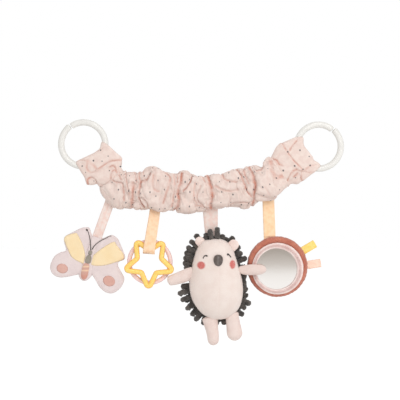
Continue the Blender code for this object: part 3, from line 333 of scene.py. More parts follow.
# %% [markdown]
# ## Outlines of stuffed flat forms
#
# A wing, a patch or a belly is cut flat and blown up by its wadding. Its height depends on how far each
# place is from the cut edge, so it has to be known which places lie inside, and how far in.

# %% Inside and beside an outline


def inside(points, outline):
    """Which places lie inside a closed outline."""
    x, z = np.asarray(points).T
    hit = np.zeros(len(x), bool)
    for (x0, z0), (x1, z1) in zip(outline, np.roll(outline, -1, 0)):
        crosses = (z0 > z) != (z1 > z)
        hit ^= crosses & (x < (x1 - x0) * (z - z0) / (z1 - z0 + 1e-12) + x0)
    return hit


def distance_to(points, line, closed=True):
    """How far each place is from a line."""
    points, line = np.asarray(points, float), np.asarray(line, float)
    best = np.full(len(points), 1e9)
    ends = np.roll(line, -1, 0) if closed else line[1:]
    for a, b in zip(line, ends):
        run = b - a
        t = np.clip((points - a) @ run / max(run @ run, 1e-12), 0, 1)
        best = np.minimum(best, np.linalg.norm(points - a - t[:, None] * run, axis=1))
    return best


print("outline tools ready")

# %% [markdown]
# ## A film over an outline
#
# A film of soap blown up over an outline has nearly the shape of a stuffed form. It is solved once on a
# fine grid and its square root taken, which gives a half ball over a circle. `pillow` then meshes the
# cut with real edges and lifts it.

# %% Film and pillow


class Film:
    """The height of a film blown up over an outline."""

    def __init__(self, outline, cell):
        self.cell = cell
        self.low = outline.min(0) - 3 * cell
        count = np.ceil((outline.max(0) + 3 * cell - self.low) / cell).astype(int) + 1
        columns, rows = np.meshgrid(np.arange(count[0]), np.arange(count[1]), indexing="ij")
        places = self.low + np.column_stack([columns.ravel(), rows.ravel()]) * cell
        mask = inside(places, outline).reshape(count)
        height = np.zeros(count)
        for _ in range(260):
            for parity in (0, 1):
                now = mask & ((columns + rows) % 2 == parity)
                around = sum(np.roll(height, shift, axis) for shift in (-1, 1) for axis in (0, 1))
                height[now] += 1.88 * ((around[now] + cell * cell) / 4 - height[now])
        self.height = np.sqrt(np.maximum(4 * height, 0))

    def at(self, points):
        spots = (np.asarray(points) - self.low) / self.cell
        spots = np.clip(spots, 0, np.array(self.height.shape) - 1.001)
        low = spots.astype(int)
        u, w = (spots - low).T
        h, i, j = self.height, low[:, 0], low[:, 1]
        return (h[i, j] * (1 - u) * (1 - w) + h[i + 1, j] * u * (1 - w)
                + h[i, j + 1] * (1 - u) * w + h[i + 1, j + 1] * u * w)


def pillow(name, outline, spacing, seam, front, back, finish, **facts):
    """A closed form over a flat outline. Front and back give how far it stands out at places (x, z)."""
    count = len(outline)
    low, high = outline.min(0), outline.max(0)
    x, z = np.meshgrid(np.arange(low[0], high[0], spacing), np.arange(low[1], high[1], spacing * 0.87))
    x[1::2] += spacing / 2
    fill = np.column_stack([x.ravel(), z.ravel()])
    fill = fill[inside(fill, outline)]
    fill = fill[distance_to(fill, outline) > 0.55 * spacing]
    cut = [Vector(p) for p in np.vstack([outline, fill])]
    rim = [(i, (i + 1) % count) for i in range(count)]
    made = delaunay_2d_cdt(cut, rim, [], 1, 1e-8)
    flat = np.array([tuple(v) for v in made[0]])
    at_rim = np.array([any(i < count for i in found) for found in made[3]])
    ahead = np.where(at_rim, 0, front(flat))
    behind = np.where(at_rim, 0, back(flat))
    twin = np.where(at_rim, np.arange(len(flat)), len(flat) + np.cumsum(~at_rim) - 1)
    vertices = np.vstack([
        np.column_stack([flat[:, 0], seam - ahead, flat[:, 1]]),
        np.column_stack([flat[:, 0], seam + behind, flat[:, 1]])[~at_rim],
    ])
    faces = [tuple(f) for f in made[2]] + [tuple(int(twin[i]) for i in reversed(f)) for f in made[2]]
    return make(name, vertices, faces, finish, **facts)


print("stuffed forms ready")

# %% [markdown]
# ## Wiring shader nodes
#
# A material is a graph of nodes, which can also be put together by hand in the shader editor. Written
# out in full each node takes several lines, so a few short names keep the recipes readable.

# %% Wiring shader nodes


class Wiring:
    """Short names for adding and joining shader nodes."""

    def __init__(self, tree, shader=None):
        self.tree, self.shader = tree, shader

    def link(self, value, socket):
        self.tree.links.new(value, socket)

    def colour(self, value):
        self.link(value, self.shader.inputs["Base Color"])

    def bump(self, height, strength, distance):
        made = self.node("ShaderNodeBump", {"Height": height, "Strength": strength, "Distance": distance})
        self.link(made.outputs["Normal"], self.shader.inputs["Normal"])

    def effect(self, name, place, **values):
        """A shared effect, with its own values."""
        made = self.node("ShaderNodeGroup", node_tree=bpy.data.node_groups[name])
        return self.fill(made, {"Place": place, **values}).outputs

    def fill(self, made, inputs):
        """Set a node's inputs, or join them to other nodes."""
        for key, value in inputs.items():
            if isinstance(value, bpy.types.NodeSocket):
                self.link(value, made.inputs[key])
            else:
                made.inputs[key].default_value = value
        return made

    def node(self, kind, inputs=None, **settings):
        made = self.tree.nodes.new(kind)
        for key, value in settings.items():
            setattr(made, key, value)
        return self.fill(made, inputs or {})

    def math(self, operation, a, b=0.0):
        return self.node("ShaderNodeMath", {0: a, 1: b}, operation=operation).outputs[0]

    def times(self, a, b):
        return self.math("MULTIPLY", a, b)

    def ridges(self, place, axis, rate, shift=0.0):
        """Ridges across one axis, from -1 to 1, with that many in a metre."""
        along = self.node("ShaderNodeSeparateXYZ", {0: place}).outputs[axis]
        turn = self.times(along, self.times(rate, math.tau))
        return self.math("SINE", self.math("ADD", turn, shift))

    def mix(self, share, a, b):
        """Colour a at share 0 and colour b at share 1."""
        return self.node("ShaderNodeMix", {0: share, 6: a, 7: b}, data_type="RGBA").outputs[2]

    def ramp(self, value, low, high):
        """From 0 at low to 1 at high, smoothly."""
        made = self.node("ShaderNodeMapRange", {0: value, 1: low, 2: high}, interpolation_type="SMOOTHSTEP")
        return made.outputs[0]

    def read(self, name, field="Fac"):
        """A value that a piece's points carry."""
        return self.node("ShaderNodeAttribute", attribute_name=name).outputs[field]

    def place(self):
        """Where on the piece, in metres."""
        return self.node("ShaderNodeTexCoord").outputs["Object"]

    def facing(self, blend):
        """From 0 where the surface faces the eye to 1 where it turns away."""
        return self.node("ShaderNodeLayerWeight", {"Blend": blend}).outputs["Facing"]

    def noise(self, place, scale, detail):
        made = self.node("ShaderNodeTexNoise", {"Vector": place, "Scale": scale, "Detail": detail})
        return made.outputs["Fac"]


def shared_effect(name, inputs, outputs):
    """A new node group, as its wiring, what it is given and what it puts out."""
    tree = bpy.data.node_groups.new(name, "ShaderNodeTree")
    for label, kind, value in inputs:
        socket = tree.interface.new_socket(label, in_out="INPUT", socket_type=kind)
        if value is not None:
            socket.default_value = value
    for label in outputs:
        tree.interface.new_socket(label, in_out="OUTPUT", socket_type="NodeSocketFloat")
    w = Wiring(tree)
    return w, w.node("NodeGroupInput").outputs, w.node("NodeGroupOutput").inputs


PLACE, NUMBER = "NodeSocketVector", "NodeSocketFloat"
print("wiring ready")

# %% [markdown]
# ## Shared surface effects: threads and nap
#
# Cloth, ribbon, plush and velour differ in a few things: the threads, the nap and what is printed.
# Each effect is one node group that gives a mask or a height, and the materials mix the colours.

# %% Threads and nap
# Threads: two sets of crossing ridges, with a slow waver
w, given, result = shared_effect("threads", [
    ("Place", PLACE, None), ("Along", NUMBER, 900.0), ("Across", NUMBER, 900.0), ("Waver", NUMBER, 0.15),
], ["Height", "Shade"])
waver = w.noise(given["Place"], 160.0, 2.0)
shift = w.times(w.times(waver, given["Waver"]), 6.0)
along = w.ridges(given["Place"], "X", given["Along"], shift)
across = w.ridges(given["Place"], "Y", given["Across"], shift)
height = w.math("ADD", w.times(along, 0.25), w.times(across, 0.25))
w.link(w.math("ADD", height, 0.5), result["Height"])
w.link(waver, result["Shade"])

# Nap: short fibres that lie in small tufts
w, given, result = shared_effect("nap", [
    ("Place", PLACE, None), ("Tuft", NUMBER, 500.0), ("Patch", NUMBER, 60.0),
], ["Height", "Shade"])
fine = w.node("ShaderNodeTexNoise", {
    "Vector": given["Place"], "Scale": given["Tuft"], "Detail": 6.0, "Roughness": 0.7}).outputs["Fac"]
broad = w.noise(given["Place"], given["Patch"], 3.0)
w.link(fine, result["Height"])
both = w.math("ADD", w.times(fine, 0.5), w.times(broad, 0.5))
w.link(w.ramp(both, 0.35, 0.65), result["Shade"])
print("threads and nap")

# %% [markdown]
# ## Shared surface effects: the print
#
# The cotton is printed with small dark dots of uneven size, scattered but never close together, over a
# very fine grid of faint specks. A Voronoi pattern puts one dot in each of its cells, which keeps them
# apart, and it stays sharp close up, where an image would not.

# %% Printed dots
w, given, result = shared_effect("print", [
    ("Place", PLACE, None), ("Dots", NUMBER, 66.0), ("Specks", NUMBER, 620.0),
], ["Dots", "Specks"])
cells = w.node("ShaderNodeTexVoronoi", {
    "Vector": given["Place"], "Scale": given["Dots"], "Randomness": 0.72}, voronoi_dimensions="2D")
chance = w.node("ShaderNodeSeparateColor", {0: cells.outputs["Color"]}).outputs
ragged = w.times(w.noise(given["Place"], 900.0, 2.0), 0.05)
edge = w.math("ADD", cells.outputs["Distance"], ragged)
reach = w.math("ADD", w.times(chance[0], 0.040), 0.067)
shown = w.math("GREATER_THAN", chance[1], 0.06)
dots = w.ramp(w.math("SUBTRACT", reach, edge), -0.012, 0.012)
w.link(w.times(dots, shown), result["Dots"])
grid = [w.ridges(given["Place"], axis, given["Specks"]) for axis in ("X", "Y")]
w.link(w.ramp(w.times(*grid), 0.3, 0.9), result["Specks"])
print("shared effects", [g.name for g in bpy.data.node_groups])

# %% [markdown]
# ## Material helpers
#
# The colours are those that the object has in plain light, except the painted shade in creases and seams
# and the painted highlight on the nose. Pale cloth stays below full white, so that its folds still show.
# Constants that hold all over a surface sit on the shader itself, and only what changes over it comes from
# nodes.

# %% Material helpers


def tint(red, green, blue):
    """A screen colour, 0 to 255, as the light values that a shader takes."""
    light = [c / 255 / 12.92 if c <= 10 else ((c / 255 + 0.055) / 1.055) ** 2.4 for c in (red, green, blue)]
    return (*light, 1)


def material(name, roughness, colour=None, **constants):
    """A new material and the wiring of its shader."""
    made = bpy.data.materials.new(name)
    made.use_nodes = True
    shader = made.node_tree.nodes["Principled BSDF"]
    shader.inputs["Roughness"].default_value = roughness
    if colour:
        shader.inputs["Base Color"].default_value = colour
        made.diffuse_color = colour
    for key, value in constants.items():
        shader.inputs[key.replace("_", " ").title()].default_value = value
    return made, Wiring(made.node_tree, shader)


print("material helpers ready")

# %% [markdown]
# ## Printed cotton and ribbons
#
# The sleeve and cuffs are a thin printed cotton. Salmon light gathers in the depth of its folds, since
# each side of a fold lights the other, and a darker tint in the creases gives that without a slow
# render. The ribbons are woven with fine ribs across them, and have a little sheen.

# %% Printed cotton and ribbons
cotton, w = material("dotted_cotton", 0.9, sheen_weight=0.12, sheen_roughness=0.5)
place = w.read("cloth", "Vector")
printed = w.effect("print", place)
threads = w.effect("threads", place, Along=1300.0, Across=1300.0)
plain = w.mix(w.ramp(threads["Shade"], 0.35, 0.65), tint(230, 214, 205), tint(224, 204, 195))
speckled = w.mix(w.times(printed["Specks"], 0.5), plain, tint(222, 178, 164))
# Painted shade in the creases, stronger in some places than in others
fold_shade_strength = w.math("ADD", w.times(w.ramp(w.noise(place, 90.0, 2.0), 0.3, 0.6), 0.7), 0.3)
folded = w.mix(w.times(w.read("crease"), fold_shade_strength), speckled, tint(202, 130, 108))
w.colour(w.mix(w.times(printed["Dots"], 0.92), folded, tint(92, 88, 90)))
w.bump(threads["Height"], 0.3, 0.0002)


def ribbon_finish(name, colour, shade):
    """Woven ribbon, with painted shade where it is creased."""
    made, w = material(name, 0.72, sheen_weight=0.15, sheen_roughness=0.4)
    place = w.read("cloth", "Vector")
    threads = w.effect("threads", place, Along=500.0, Across=1050.0, Waver=0.1)
    spread = w.mix(w.ramp(threads["Shade"], 0.35, 0.7), tint(*colour), tint(*shade))
    w.colour(w.mix(w.read("crease"), spread, tint(*shade)))
    w.bump(threads["Height"], 0.5, 0.00025)
    return made


pale_ribbon = ribbon_finish("pale_pink_ribbon", (237, 222, 214), (235, 204, 193))
peach_ribbon = ribbon_finish("peach_ribbon", (250, 218, 184), (247, 204, 164))
apricot_ribbon = ribbon_finish("apricot_ribbon", (252, 219, 181), (248, 206, 161))
yellow_ribbon = ribbon_finish("yellow_ribbon", (251, 222, 134), (249, 209, 102))
peach_tag_ribbon = ribbon_finish("peach_tag_ribbon", (247, 216, 196), (244, 203, 181))

webbing, w = material("elastic_webbing", 0.85)
threads = w.effect("threads", w.place(), Along=420.0, Across=420.0)
w.colour(w.mix(threads["Height"], tint(236, 233, 226), tint(205, 201, 194)))
w.bump(threads["Height"], 0.6, 0.0003)
print("cotton and ribbons", len(bpy.data.materials))

# %% [markdown]
# ## Plush, velour and brushed cotton
#
# All are a short pile: tufts that catch the light, darker between them, with a soft sheen at the edges.
# Hair could be grown on the toys, but at this size the pile is shorter than a pixel, so a bump and a
# change of colour give the same look. One recipe makes them all, with its own colours and tufts.

# %% Plush, velour and brushed cotton


def plush_finish(name, colour, shade, tuft=900.0, patch=70.0, depth=0.0006, sheen=0.3, crease_shade=None):
    """A pile with painted shade in its creases, with its wiring so that more can be laid over it."""
    made, w = material(name, 0.95, sheen_weight=sheen, sheen_roughness=0.6)
    nap = w.effect("nap", w.place(), Tuft=tuft, Patch=patch)
    mixed = w.mix(w.math("SUBTRACT", 1.0, nap["Shade"]), tint(*colour), tint(*shade))
    # Painted shade in the creases, in its own colour where one is given
    creased = w.mix(w.read("crease"), mixed, tint(*(crease_shade or shade)))
    w.colour(creased)
    w.bump(nap["Height"], 0.6, depth)
    return made, w, creased


def plush(*looks, **values):
    """The same when the material alone is needed."""
    return plush_finish(*looks, **values)[0]


def thin_plush(*looks, sheen=0.1, depth=0.0003):
    return plush(*looks, sheen=sheen, depth=depth)


limb_plush = plush("pink_plush", (232, 215, 207), (224, 201, 192))
ear_plush = plush("ear_plush", (239, 222, 214), (227, 202, 193))
velour = plush("terracotta_velour", (196, 120, 96), (172, 94, 73), tuft=700.0, patch=90.0, depth=0.0007,
               sheen=0.35)
chenille = plush("grey_chenille", (92, 86, 81), (52, 48, 45), tuft=420.0, patch=160.0, depth=0.0012,
                 sheen=0.25)
lilac = thin_plush("lilac_brushed_cotton", (229, 214, 211), (219, 203, 201), sheen=0.12)
thorax_grey = thin_plush("grey_brushed_cotton", (160, 151, 139), (136, 128, 117), depth=0.0004)
patch_yellow = thin_plush("yellow_cotton_patch", (243, 222, 184), (240, 214, 168))
spot_salmon = thin_plush("salmon_cotton_spot", (218, 176, 163), (209, 159, 145))
rim_cloth = thin_plush("stitched_pink_rim", (240, 226, 220), (228, 200, 194))
rim_thread = thin_plush("rim_thread", (232, 206, 201), (218, 182, 176), depth=0.0002)
seam_thread = thin_plush("dark_thread", (92, 84, 80), (62, 56, 54), depth=0.0002)

# The belly has its own cheeks, rubbed into the pile
belly_plush, w, spread = plush_finish(
    "blush_plush", (234, 221, 213), (228, 211, 202), tuft=1000.0, crease_shade=(214, 176, 164))
cheek = w.times(w.read("cheek"), w.ramp(w.noise(w.place(), 1100.0, 3.0), 0.2, 0.45))
w.colour(w.mix(cheek, spread, tint(200, 92, 84)))

# The tail is salmon with two pale stripes, and darker towards its lower end
abdomen, w, spread = plush_finish(
    "striped_cotton", (213, 170, 155), (205, 156, 141), sheen=0.1, depth=0.0004, crease_shade=(207, 142, 124))
w.colour(w.mix(w.read("stripe"), spread, tint(242, 212, 178)))
print("with plush and velour", len(bpy.data.materials))

# %% [markdown]
# ## Plastic, silicone, satin and mirror
#
# Light gets a little way into the milky plastic and the silicone and is lost in their depth, so they
# are darker where they turn away from the eye. Layer Weight knows where that is. The mirror is a metal
# film on a soft ground, so it is smooth but not perfectly sharp.

# %% Plastic, silicone, satin and mirror
milky, w = material("milky_plastic", 0.34, coat_weight=0.2)
cloudy = w.mix(w.ramp(w.noise(w.place(), 120.0, 2.0), 0.3, 0.7), tint(229, 227, 222), tint(225, 223, 218))
w.colour(w.mix(w.ramp(w.facing(0.4), 0.3, 0.95), cloudy, tint(218, 217, 211)))

silicone, w = material("yellow_silicone", 0.3, subsurface_weight=0.15, subsurface_scale=0.004)
w.colour(w.mix(w.ramp(w.facing(0.35), 0.15, 0.7), tint(251, 213, 116), tint(243, 161, 54)))

pink_silicone, w = material("pink_silicone", 0.22, subsurface_weight=0.1, subsurface_scale=0.004)
w.colour(w.mix(w.ramp(w.facing(0.4), 0.1, 0.8), tint(245, 214, 208), tint(221, 158, 156)))

satin, w = material("grey_satin", 0.32, sheen_weight=0.1)
nap = w.effect("nap", w.place(), Tuft=1500.0, Patch=260.0)
uneven = w.mix(nap["Shade"], tint(80, 71, 67), tint(100, 90, 85))
# A painted highlight: a paler band where the nose catches the light
w.colour(w.mix(w.times(w.read("painted_highlight"), 0.3), uneven, tint(150, 143, 140)))
w.bump(nap["Height"], 0.2, 0.0002)

mirror_film, w = material("soft_mirror", 0.1, tint(246, 245, 243), metallic=1.0)
print("materials", len(bpy.data.materials))

# %% [markdown]
# ## Floor and surround
#
# The photograph has a white ground. A pale floor and an open white surround give soft light from all
# sides. What shines sees a darker ceiling above the horizon instead, as in a real room, and that is
# what the mirror shows. Light Path tells the rays apart: those from the camera see plain white.

# %% Floor and surround
FLOOR_HEIGHT, FLOOR_HALF = -0.40, 6.0
# What a mirror sees: the floor near by, the floor far off and the ceiling
NEAR_FLOOR, FAR_FLOOR, CEILING = (1.0, 0.97, 0.95, 1), (0.66, 0.61, 0.57, 1), (0.44, 0.39, 0.35, 1)
# Light from below and from above
LOW_LIGHT, HIGH_LIGHT = (0.74, 0.73, 0.725, 1), (0.86, 0.86, 0.87, 1)

floor_finish, w = material("floor", 0.9, tint(244, 244, 243))
rays = w.node("ShaderNodeLightPath").outputs
own = w.shader.outputs[0]
lit = w.node("ShaderNodeEmission", {"Color": (1, 1, 1, 1), "Strength": 0.3}).outputs[0]
bright = w.node("ShaderNodeAddShader", {0: own, 1: lit}).outputs[0]
plain = w.node("ShaderNodeMixShader", {0: rays["Is Camera Ray"], 1: own, 2: bright}).outputs[0]
ahead = w.node("ShaderNodeSeparateXYZ", {0: w.place()}).outputs["Y"]
fading = w.mix(w.ramp(ahead, -1.2, -5.8), NEAR_FLOOR, FAR_FLOOR)
mirrored = w.node("ShaderNodeEmission", {"Color": fading, "Strength": 1.0}).outputs[0]
both = w.node("ShaderNodeMixShader", {0: rays["Is Glossy Ray"], 1: plain, 2: mirrored}).outputs[0]
w.link(both, floor_finish.node_tree.nodes["Material Output"].inputs["Surface"])
corners = [(x * FLOOR_HALF, y * FLOOR_HALF, FLOOR_HEIGHT) for x, y in ((-1, -1), (1, -1), (1, 1), (-1, 1))]
floor = make("floor", corners, [(0, 1, 2, 3)], floor_finish)
floor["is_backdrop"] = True

world = bpy.data.worlds.new("studio")
bpy.context.scene.world = world
world.use_nodes = True
w = Wiring(world.node_tree)
up = w.node("ShaderNodeSeparateXYZ", {0: w.node("ShaderNodeTexCoord").outputs["Generated"]}).outputs["Z"]
rays = w.node("ShaderNodeLightPath").outputs
ceiling = w.mix(w.ramp(up, -0.06, 0.06), FAR_FLOOR, CEILING)
ambient = w.mix(w.ramp(up, -0.2, 1.0), LOW_LIGHT, HIGH_LIGHT)
shiny = w.mix(rays["Is Glossy Ray"], ambient, ceiling)
ground = world.node_tree.nodes["Background"].inputs
w.link(w.mix(rays["Is Camera Ray"], shiny, (1, 1, 1, 1)), ground["Color"])
ground["Strength"].default_value = 1.0
print("floor at", FLOOR_HEIGHT)

# %% [markdown]
# ## Lamps
#
# One large lamp stands in front, above and a little to the right, and gives the folds their shade. A
# weaker one on the right keeps that side from going grey. Large lamps were chosen for their soft edges.

# %% Lamps
AIM = (0, 0, -0.1)


def lamp(name, place, size, power):
    data = bpy.data.lights.new(name, "AREA")
    data.size, data.energy = size, power
    made = bpy.data.objects.new(name, data)
    made.location = place
    made.rotation_euler = (Vector(AIM) - Vector(place)).to_track_quat("-Z", "Y").to_euler()
    bpy.context.scene.collection.objects.link(made)


lamp("key", (0.40, -1.25, 0.75), 0.9, 7.8)
lamp("fill", (1.3, -1.2, 0.1), 1.2, 2.7)
bpy.context.scene.view_settings.view_transform = "Standard"
print("lamps", len(bpy.data.lights))

# %% [markdown]
# ## Sleeve: middle line
#
# On the real object a printed cotton tube, about one and a half times as long as the finished sleeve,
# is gathered on a flat elastic, so it stands in full puffs with deep creases between them. A plain bent
# tube would miss that. Its middle line sags between the two cuffs, and leaves each of them straight.

# %% Middle line of the sleeve
LEFT_RING = np.array([-0.153, 0.0, 0.0015])
RIGHT_RING = np.array([0.153, 0.0, -0.0015])
LEFT_TURN, RIGHT_TURN = math.radians(-51), math.radians(-147)
LEFT_ALONG = np.array([math.cos(LEFT_TURN), 0, math.sin(LEFT_TURN)])
RIGHT_ALONG = np.array([math.cos(RIGHT_TURN), 0, math.sin(RIGHT_TURN)])
# How far a neck is from its ring, and how far outside and inside of it the line runs straight
NECK_REACH, STRAIGHT_OUT, STRAIGHT_IN = 0.0623, 0.003, 0.007
# Places (x, z) on the middle line, in millimetres
MIDDLE_PLACES = ((-86.0, -58.5), (-47.0, -59.5), (0.0, -62.0), (37.9, -57.5), (67.9, -52.0), (88.0, -43.5))
ROWS, ROUND = 320, 88

start, end = LEFT_RING + LEFT_ALONG * NECK_REACH, RIGHT_RING + RIGHT_ALONG * NECK_REACH
knots = [start - LEFT_ALONG * STRAIGHT_OUT, start + LEFT_ALONG * STRAIGHT_IN]
knots += [np.array([x * MM, 0, z * MM]) for x, z in MIDDLE_PLACES]
knots += [end + RIGHT_ALONG * STRAIGHT_IN, end - RIGHT_ALONG * STRAIGHT_OUT]
middle = smooth_line(knots, ROWS + 1)
run = unit(np.gradient(middle, axis=0))
run[0], run[-1] = LEFT_ALONG, -RIGHT_ALONG
upward = np.column_stack([-run[:, 2], np.zeros(ROWS + 1), run[:, 0]])
share = np.linspace(0, 1, ROWS + 1)
print("sleeve line", round(float(run_along(middle)[-1]) * 1000), "mm long")

# %% [markdown]
# ## Sleeve: its edges
#
# The puffs show first in the outline of the sleeve, so its upper and lower edge are measured. Each
# place says how far the cloth stands off the middle line there, which keeps every puff where it is.

# %% Edges of the sleeve
TOP_EDGE = (
    (121.3, 169), (125, 172), (133.6, 172.2), (142.7, 171.4), (146.6, 167.2), (151.2, 166.4), (156.5, 168.4),
    (165.7, 172.2), (174.9, 174.1), (177.9, 172.2), (184.8, 170.5), (189.4, 173), (194.8, 175.6),
    (199.9, 176),
    (207.5, 175.2), (216.7, 175.2), (225.9, 173.3), (232.8, 169.1), (243.5, 168.3), (247.3, 166),
    (257.3, 165.6),
    (261.1, 168.4), (262.9, 162.2), (268, 157.6), (271.8, 157.4))
LOW_EDGE = (
    (98.6, 184.7), (105.2, 196.7), (106, 200.5), (113.7, 207), (119.8, 208.5), (125.9, 207.8), (136.6, 209.3),
    (144.3, 209.7), (148.9, 207.8), (159.6, 212), (171.8, 210.1), (179.5, 212.4), (187.1, 213.7),
    (194.8, 212.4),
    (198.4, 211.5), (217.5, 208.5), (222.1, 208.1), (232.8, 204.7), (243.5, 208.9), (253.5, 206.2),
    (256.5, 202.7), (261.1, 200.4), (272.6, 198.9), (277.9, 195.9), (282.2, 190))


def edge_reach(edge):
    """How far a measured edge stands off the middle line, all along it."""
    places = plan(edge)
    gap = places[:, None] - middle[None, :, ::2]
    nearest = np.argmin(np.linalg.norm(gap, axis=2), axis=1)
    reach = np.linalg.norm(gap[np.arange(len(places)), nearest], axis=1)
    order = np.argsort(share[nearest])
    found = np.interp(share, share[nearest][order], reach[order])
    spread = np.hanning(9)
    return np.convolve(np.pad(found, 4, mode="edge"), spread / spread.sum(), mode="valid")


top_reach, low_reach = edge_reach(TOP_EDGE)[:, None], edge_reach(LOW_EDGE)[:, None]
print("sleeve up to", round(float((top_reach + low_reach).max()) * 1000), "mm high")

# %% [markdown]
# ## Sleeve: gathers
#
# Gathers are never evenly spaced. Some run right round the tube and notch its edge. A noise pattern
# could make them, but would not meet the measured notches, so each has its own place, width, depth and
# lean. Short folds are then scattered between them.

# %% Gathers of the sleeve
# Place along the sleeve, width, depth, and how far it leans round the front
GATHERS = (
    (0.072, 0.007, 0.10, 0.012), (0.112, 0.007, 0.14, -0.012), (0.152, 0.006, 0.24, 0.006),
    (0.184, 0.005, 0.20, -0.004), (0.250, 0.006, 0.10, 0.012), (0.303, 0.007, 0.12, -0.010),
    (0.350, 0.006, 0.15, 0.006), (0.388, 0.006, 0.30, -0.003), (0.458, 0.006, 0.12, 0.014),
    (0.505, 0.006, 0.14, -0.008), (0.548, 0.006, 0.22, 0.004), (0.585, 0.006, 0.15, 0.005),
    (0.658, 0.007, 0.10, 0.014), (0.735, 0.006, 0.16, -0.010), (0.790, 0.006, 0.20, 0.006),
    (0.832, 0.006, 0.16, -0.008), (0.925, 0.006, 0.14, 0.008))
SHORT_FOLDS = 80
ALONG = share[:, None]
ANGLE = np.arange(ROUND) * math.tau / ROUND
COS, SIN = np.cos(ANGLE)[None], np.sin(ANGLE)[None]


def gathered(draw):
    """How full the tube is, and how creased, from the gathers that run round it."""
    swell, crease = np.ones((ROWS + 1, ROUND)), np.zeros((ROWS + 1, ROUND))
    at_front = np.clip(SIN / 0.5, 0, 1)
    for where, wide, deep, lean in GATHERS:
        phases = [draw.uniform(0, 6.28) for _ in range(3)]
        line = where + lean * SIN + 0.0035 * np.sin(2 * ANGLE + phases[0])[None]
        line = line + 0.0022 * np.sin(5 * ANGLE + phases[1])[None]
        line = line + 0.0012 * np.sin(9 * ANGLE + phases[2])[None]
        off = (ALONG - line) / wide
        deeper = (1 + 0.35 * np.sin(3 * ANGLE + phases[1])[None]) * (1 - 0.85 * at_front)
        swell = swell - deep * deeper * np.exp(-np.abs(off) ** 1.5)
        crease = np.maximum(crease, min(1, deep * 4.2) * deeper * hill(off, 0.55))
    return swell, crease


def short_folds(draw, swell, crease):
    """The same with short folds added."""
    for _ in range(SHORT_FOLDS):
        where, at, wide = draw.uniform(0.03, 0.97), draw.uniform(0, 6.28), draw.uniform(0.25, 0.7)
        lean, deep = draw.uniform(-0.06, 0.06), draw.uniform(0.012, 0.045)
        turn = (ANGLE - at + math.pi) % math.tau - math.pi
        off = (ALONG - where - lean * turn[None]) / draw.uniform(0.004, 0.008)
        fade = hill(turn, wide)[None]
        swell = swell - deep * fade * hill(off, 1)
        crease = np.maximum(crease, deep * 5 * fade * hill(off, 0.7))
    return swell, crease


draw = random.Random(7)
swell, crease = short_folds(draw, *gathered(draw))
print(len(GATHERS), "gathers and", SHORT_FOLDS, "short folds")

# %% [markdown]
# ## Sleeve: creases across the front
#
# The creases that show from in front hook, slant and stop halfway. They are pressed in where the real
# cloth has them. Sculpting could do that too, but drawn lines can be measured and mended one by one.

# %% Creases across the front
# Measured places, half width in pixels, depth in millimetres
FRONT_CREASES = (
    (((116, 170.4), (119, 174.4), (121.5, 179.5)), 0.8, 1.8),
    (((112.5, 179.8), (117, 182.4), (122.7, 183.6), (124, 190.2), (124.4, 199)), 0.9, 2.0),
    (((126, 174), (127, 180), (128.5, 187), (130.5, 195)), 0.7, 1.6),
    (((134, 183.5), (133.4, 193.5), (132.6, 200), (132.2, 206.5)), 1.9, 2.6),
    (((135, 173), (136, 177), (137, 181.5)), 0.7, 1.8),
    (((139.5, 172), (140, 178), (141.2, 182)), 0.7, 1.8),
    (((150.6, 174), (147.3, 180), (141.8, 182), (140.8, 187), (139.9, 193.5), (140.2, 199),
      (144.4, 207)), 0.9, 3.4),
    (((144.4, 168.5), (143.6, 173), (144.8, 178.5)), 0.6, 1.4),
    (((142.4, 198), (147.3, 201.7), (148.6, 207)), 0.8, 1.3),
    (((154.2, 176), (153.6, 183), (155.2, 189), (159.5, 191.4)), 1.2, 1.3),
    (((165, 173.2), (168.8, 176), (170.4, 180), (168.6, 187), (166.2, 194.3), (163.5, 202)), 1.1, 1.7),
    (((174.2, 175), (174.8, 186), (173.6, 197), (172, 206)), 0.9, 1.5),
    (((176.8, 173.5), (177.8, 183)), 0.6, 2.0),
    (((181.7, 174), (180.9, 182), (178.8, 188), (178.4, 194), (179.4, 200), (178.2, 206),
      (175.6, 209.5)), 1.6, 3.2),
    (((192.4, 176.5), (190, 182.6), (187.4, 186.8), (184, 190.6)), 0.9, 2.4),
    (((195.5, 184), (194.2, 191), (194.4, 198.4), (197, 203)), 1.0, 1.1),
    (((200.5, 187), (197.5, 195), (198.6, 201), (203, 205)), 0.9, 1.0),
    (((202.2, 176), (204.8, 182)), 0.8, 1.5),
    (((207.5, 175.8), (209.9, 182.6), (211.8, 189.7), (212.2, 196), (210.8, 203), (211, 208.5)), 1.7, 3.2),
    (((222.3, 174.8), (224.6, 179), (229, 181), (236, 182)), 1.0, 1.6),
    (((215.5, 186), (222, 189.5), (230, 191), (236, 190)), 1.7, 0.8),
    (((236.6, 169.6), (241.4, 177.3), (244, 184.4), (246.7, 191.5), (250.5, 197)), 0.9, 2.8),
    (((243.1, 168), (244.5, 173.8), (246, 179), (247.8, 184)), 0.8, 1.9),
    (((248.4, 166.6), (251.3, 172), (253.7, 179.1), (254.6, 186.1), (253.4, 196.8),
      (252.6, 205.5)), 1.7, 3.2),
    (((262.4, 164.5), (261.6, 169.4), (256.5, 170.6)), 0.9, 2.2),
    (((270.6, 162), (271.5, 170), (275.5, 176.5), (281, 176.6), (286.5, 172)), 2.6, 1.5),
    (((196.5, 205), (204, 206.6), (209, 210)), 1.0, 1.1),
    (((233, 203), (240, 202), (247, 202.8)), 0.9, 1.3))


def pressed_in(places, creases):
    """How deep and how creased the front is at places (x, z), from the drawn creases."""
    depth, crease = np.zeros(len(places)), np.zeros(len(places))
    for points, half, deep in creases:
        line = smooth_line(plan(points), 36)
        near = np.linalg.norm(places[:, None] - line[None], axis=2).min(axis=1) / (half * PIXEL)
        valley, shoulder = hill(near, 1), hill(near - 2.3, 1.1)
        depth = np.maximum(depth, deep * MM * valley) - 0.16 * deep * MM * shoulder
        crease = np.maximum(crease, min(1, 0.16 + 0.24 * deep) * hill(near, 0.85))
    return depth, crease


print(len(FRONT_CREASES), "creases across the front")

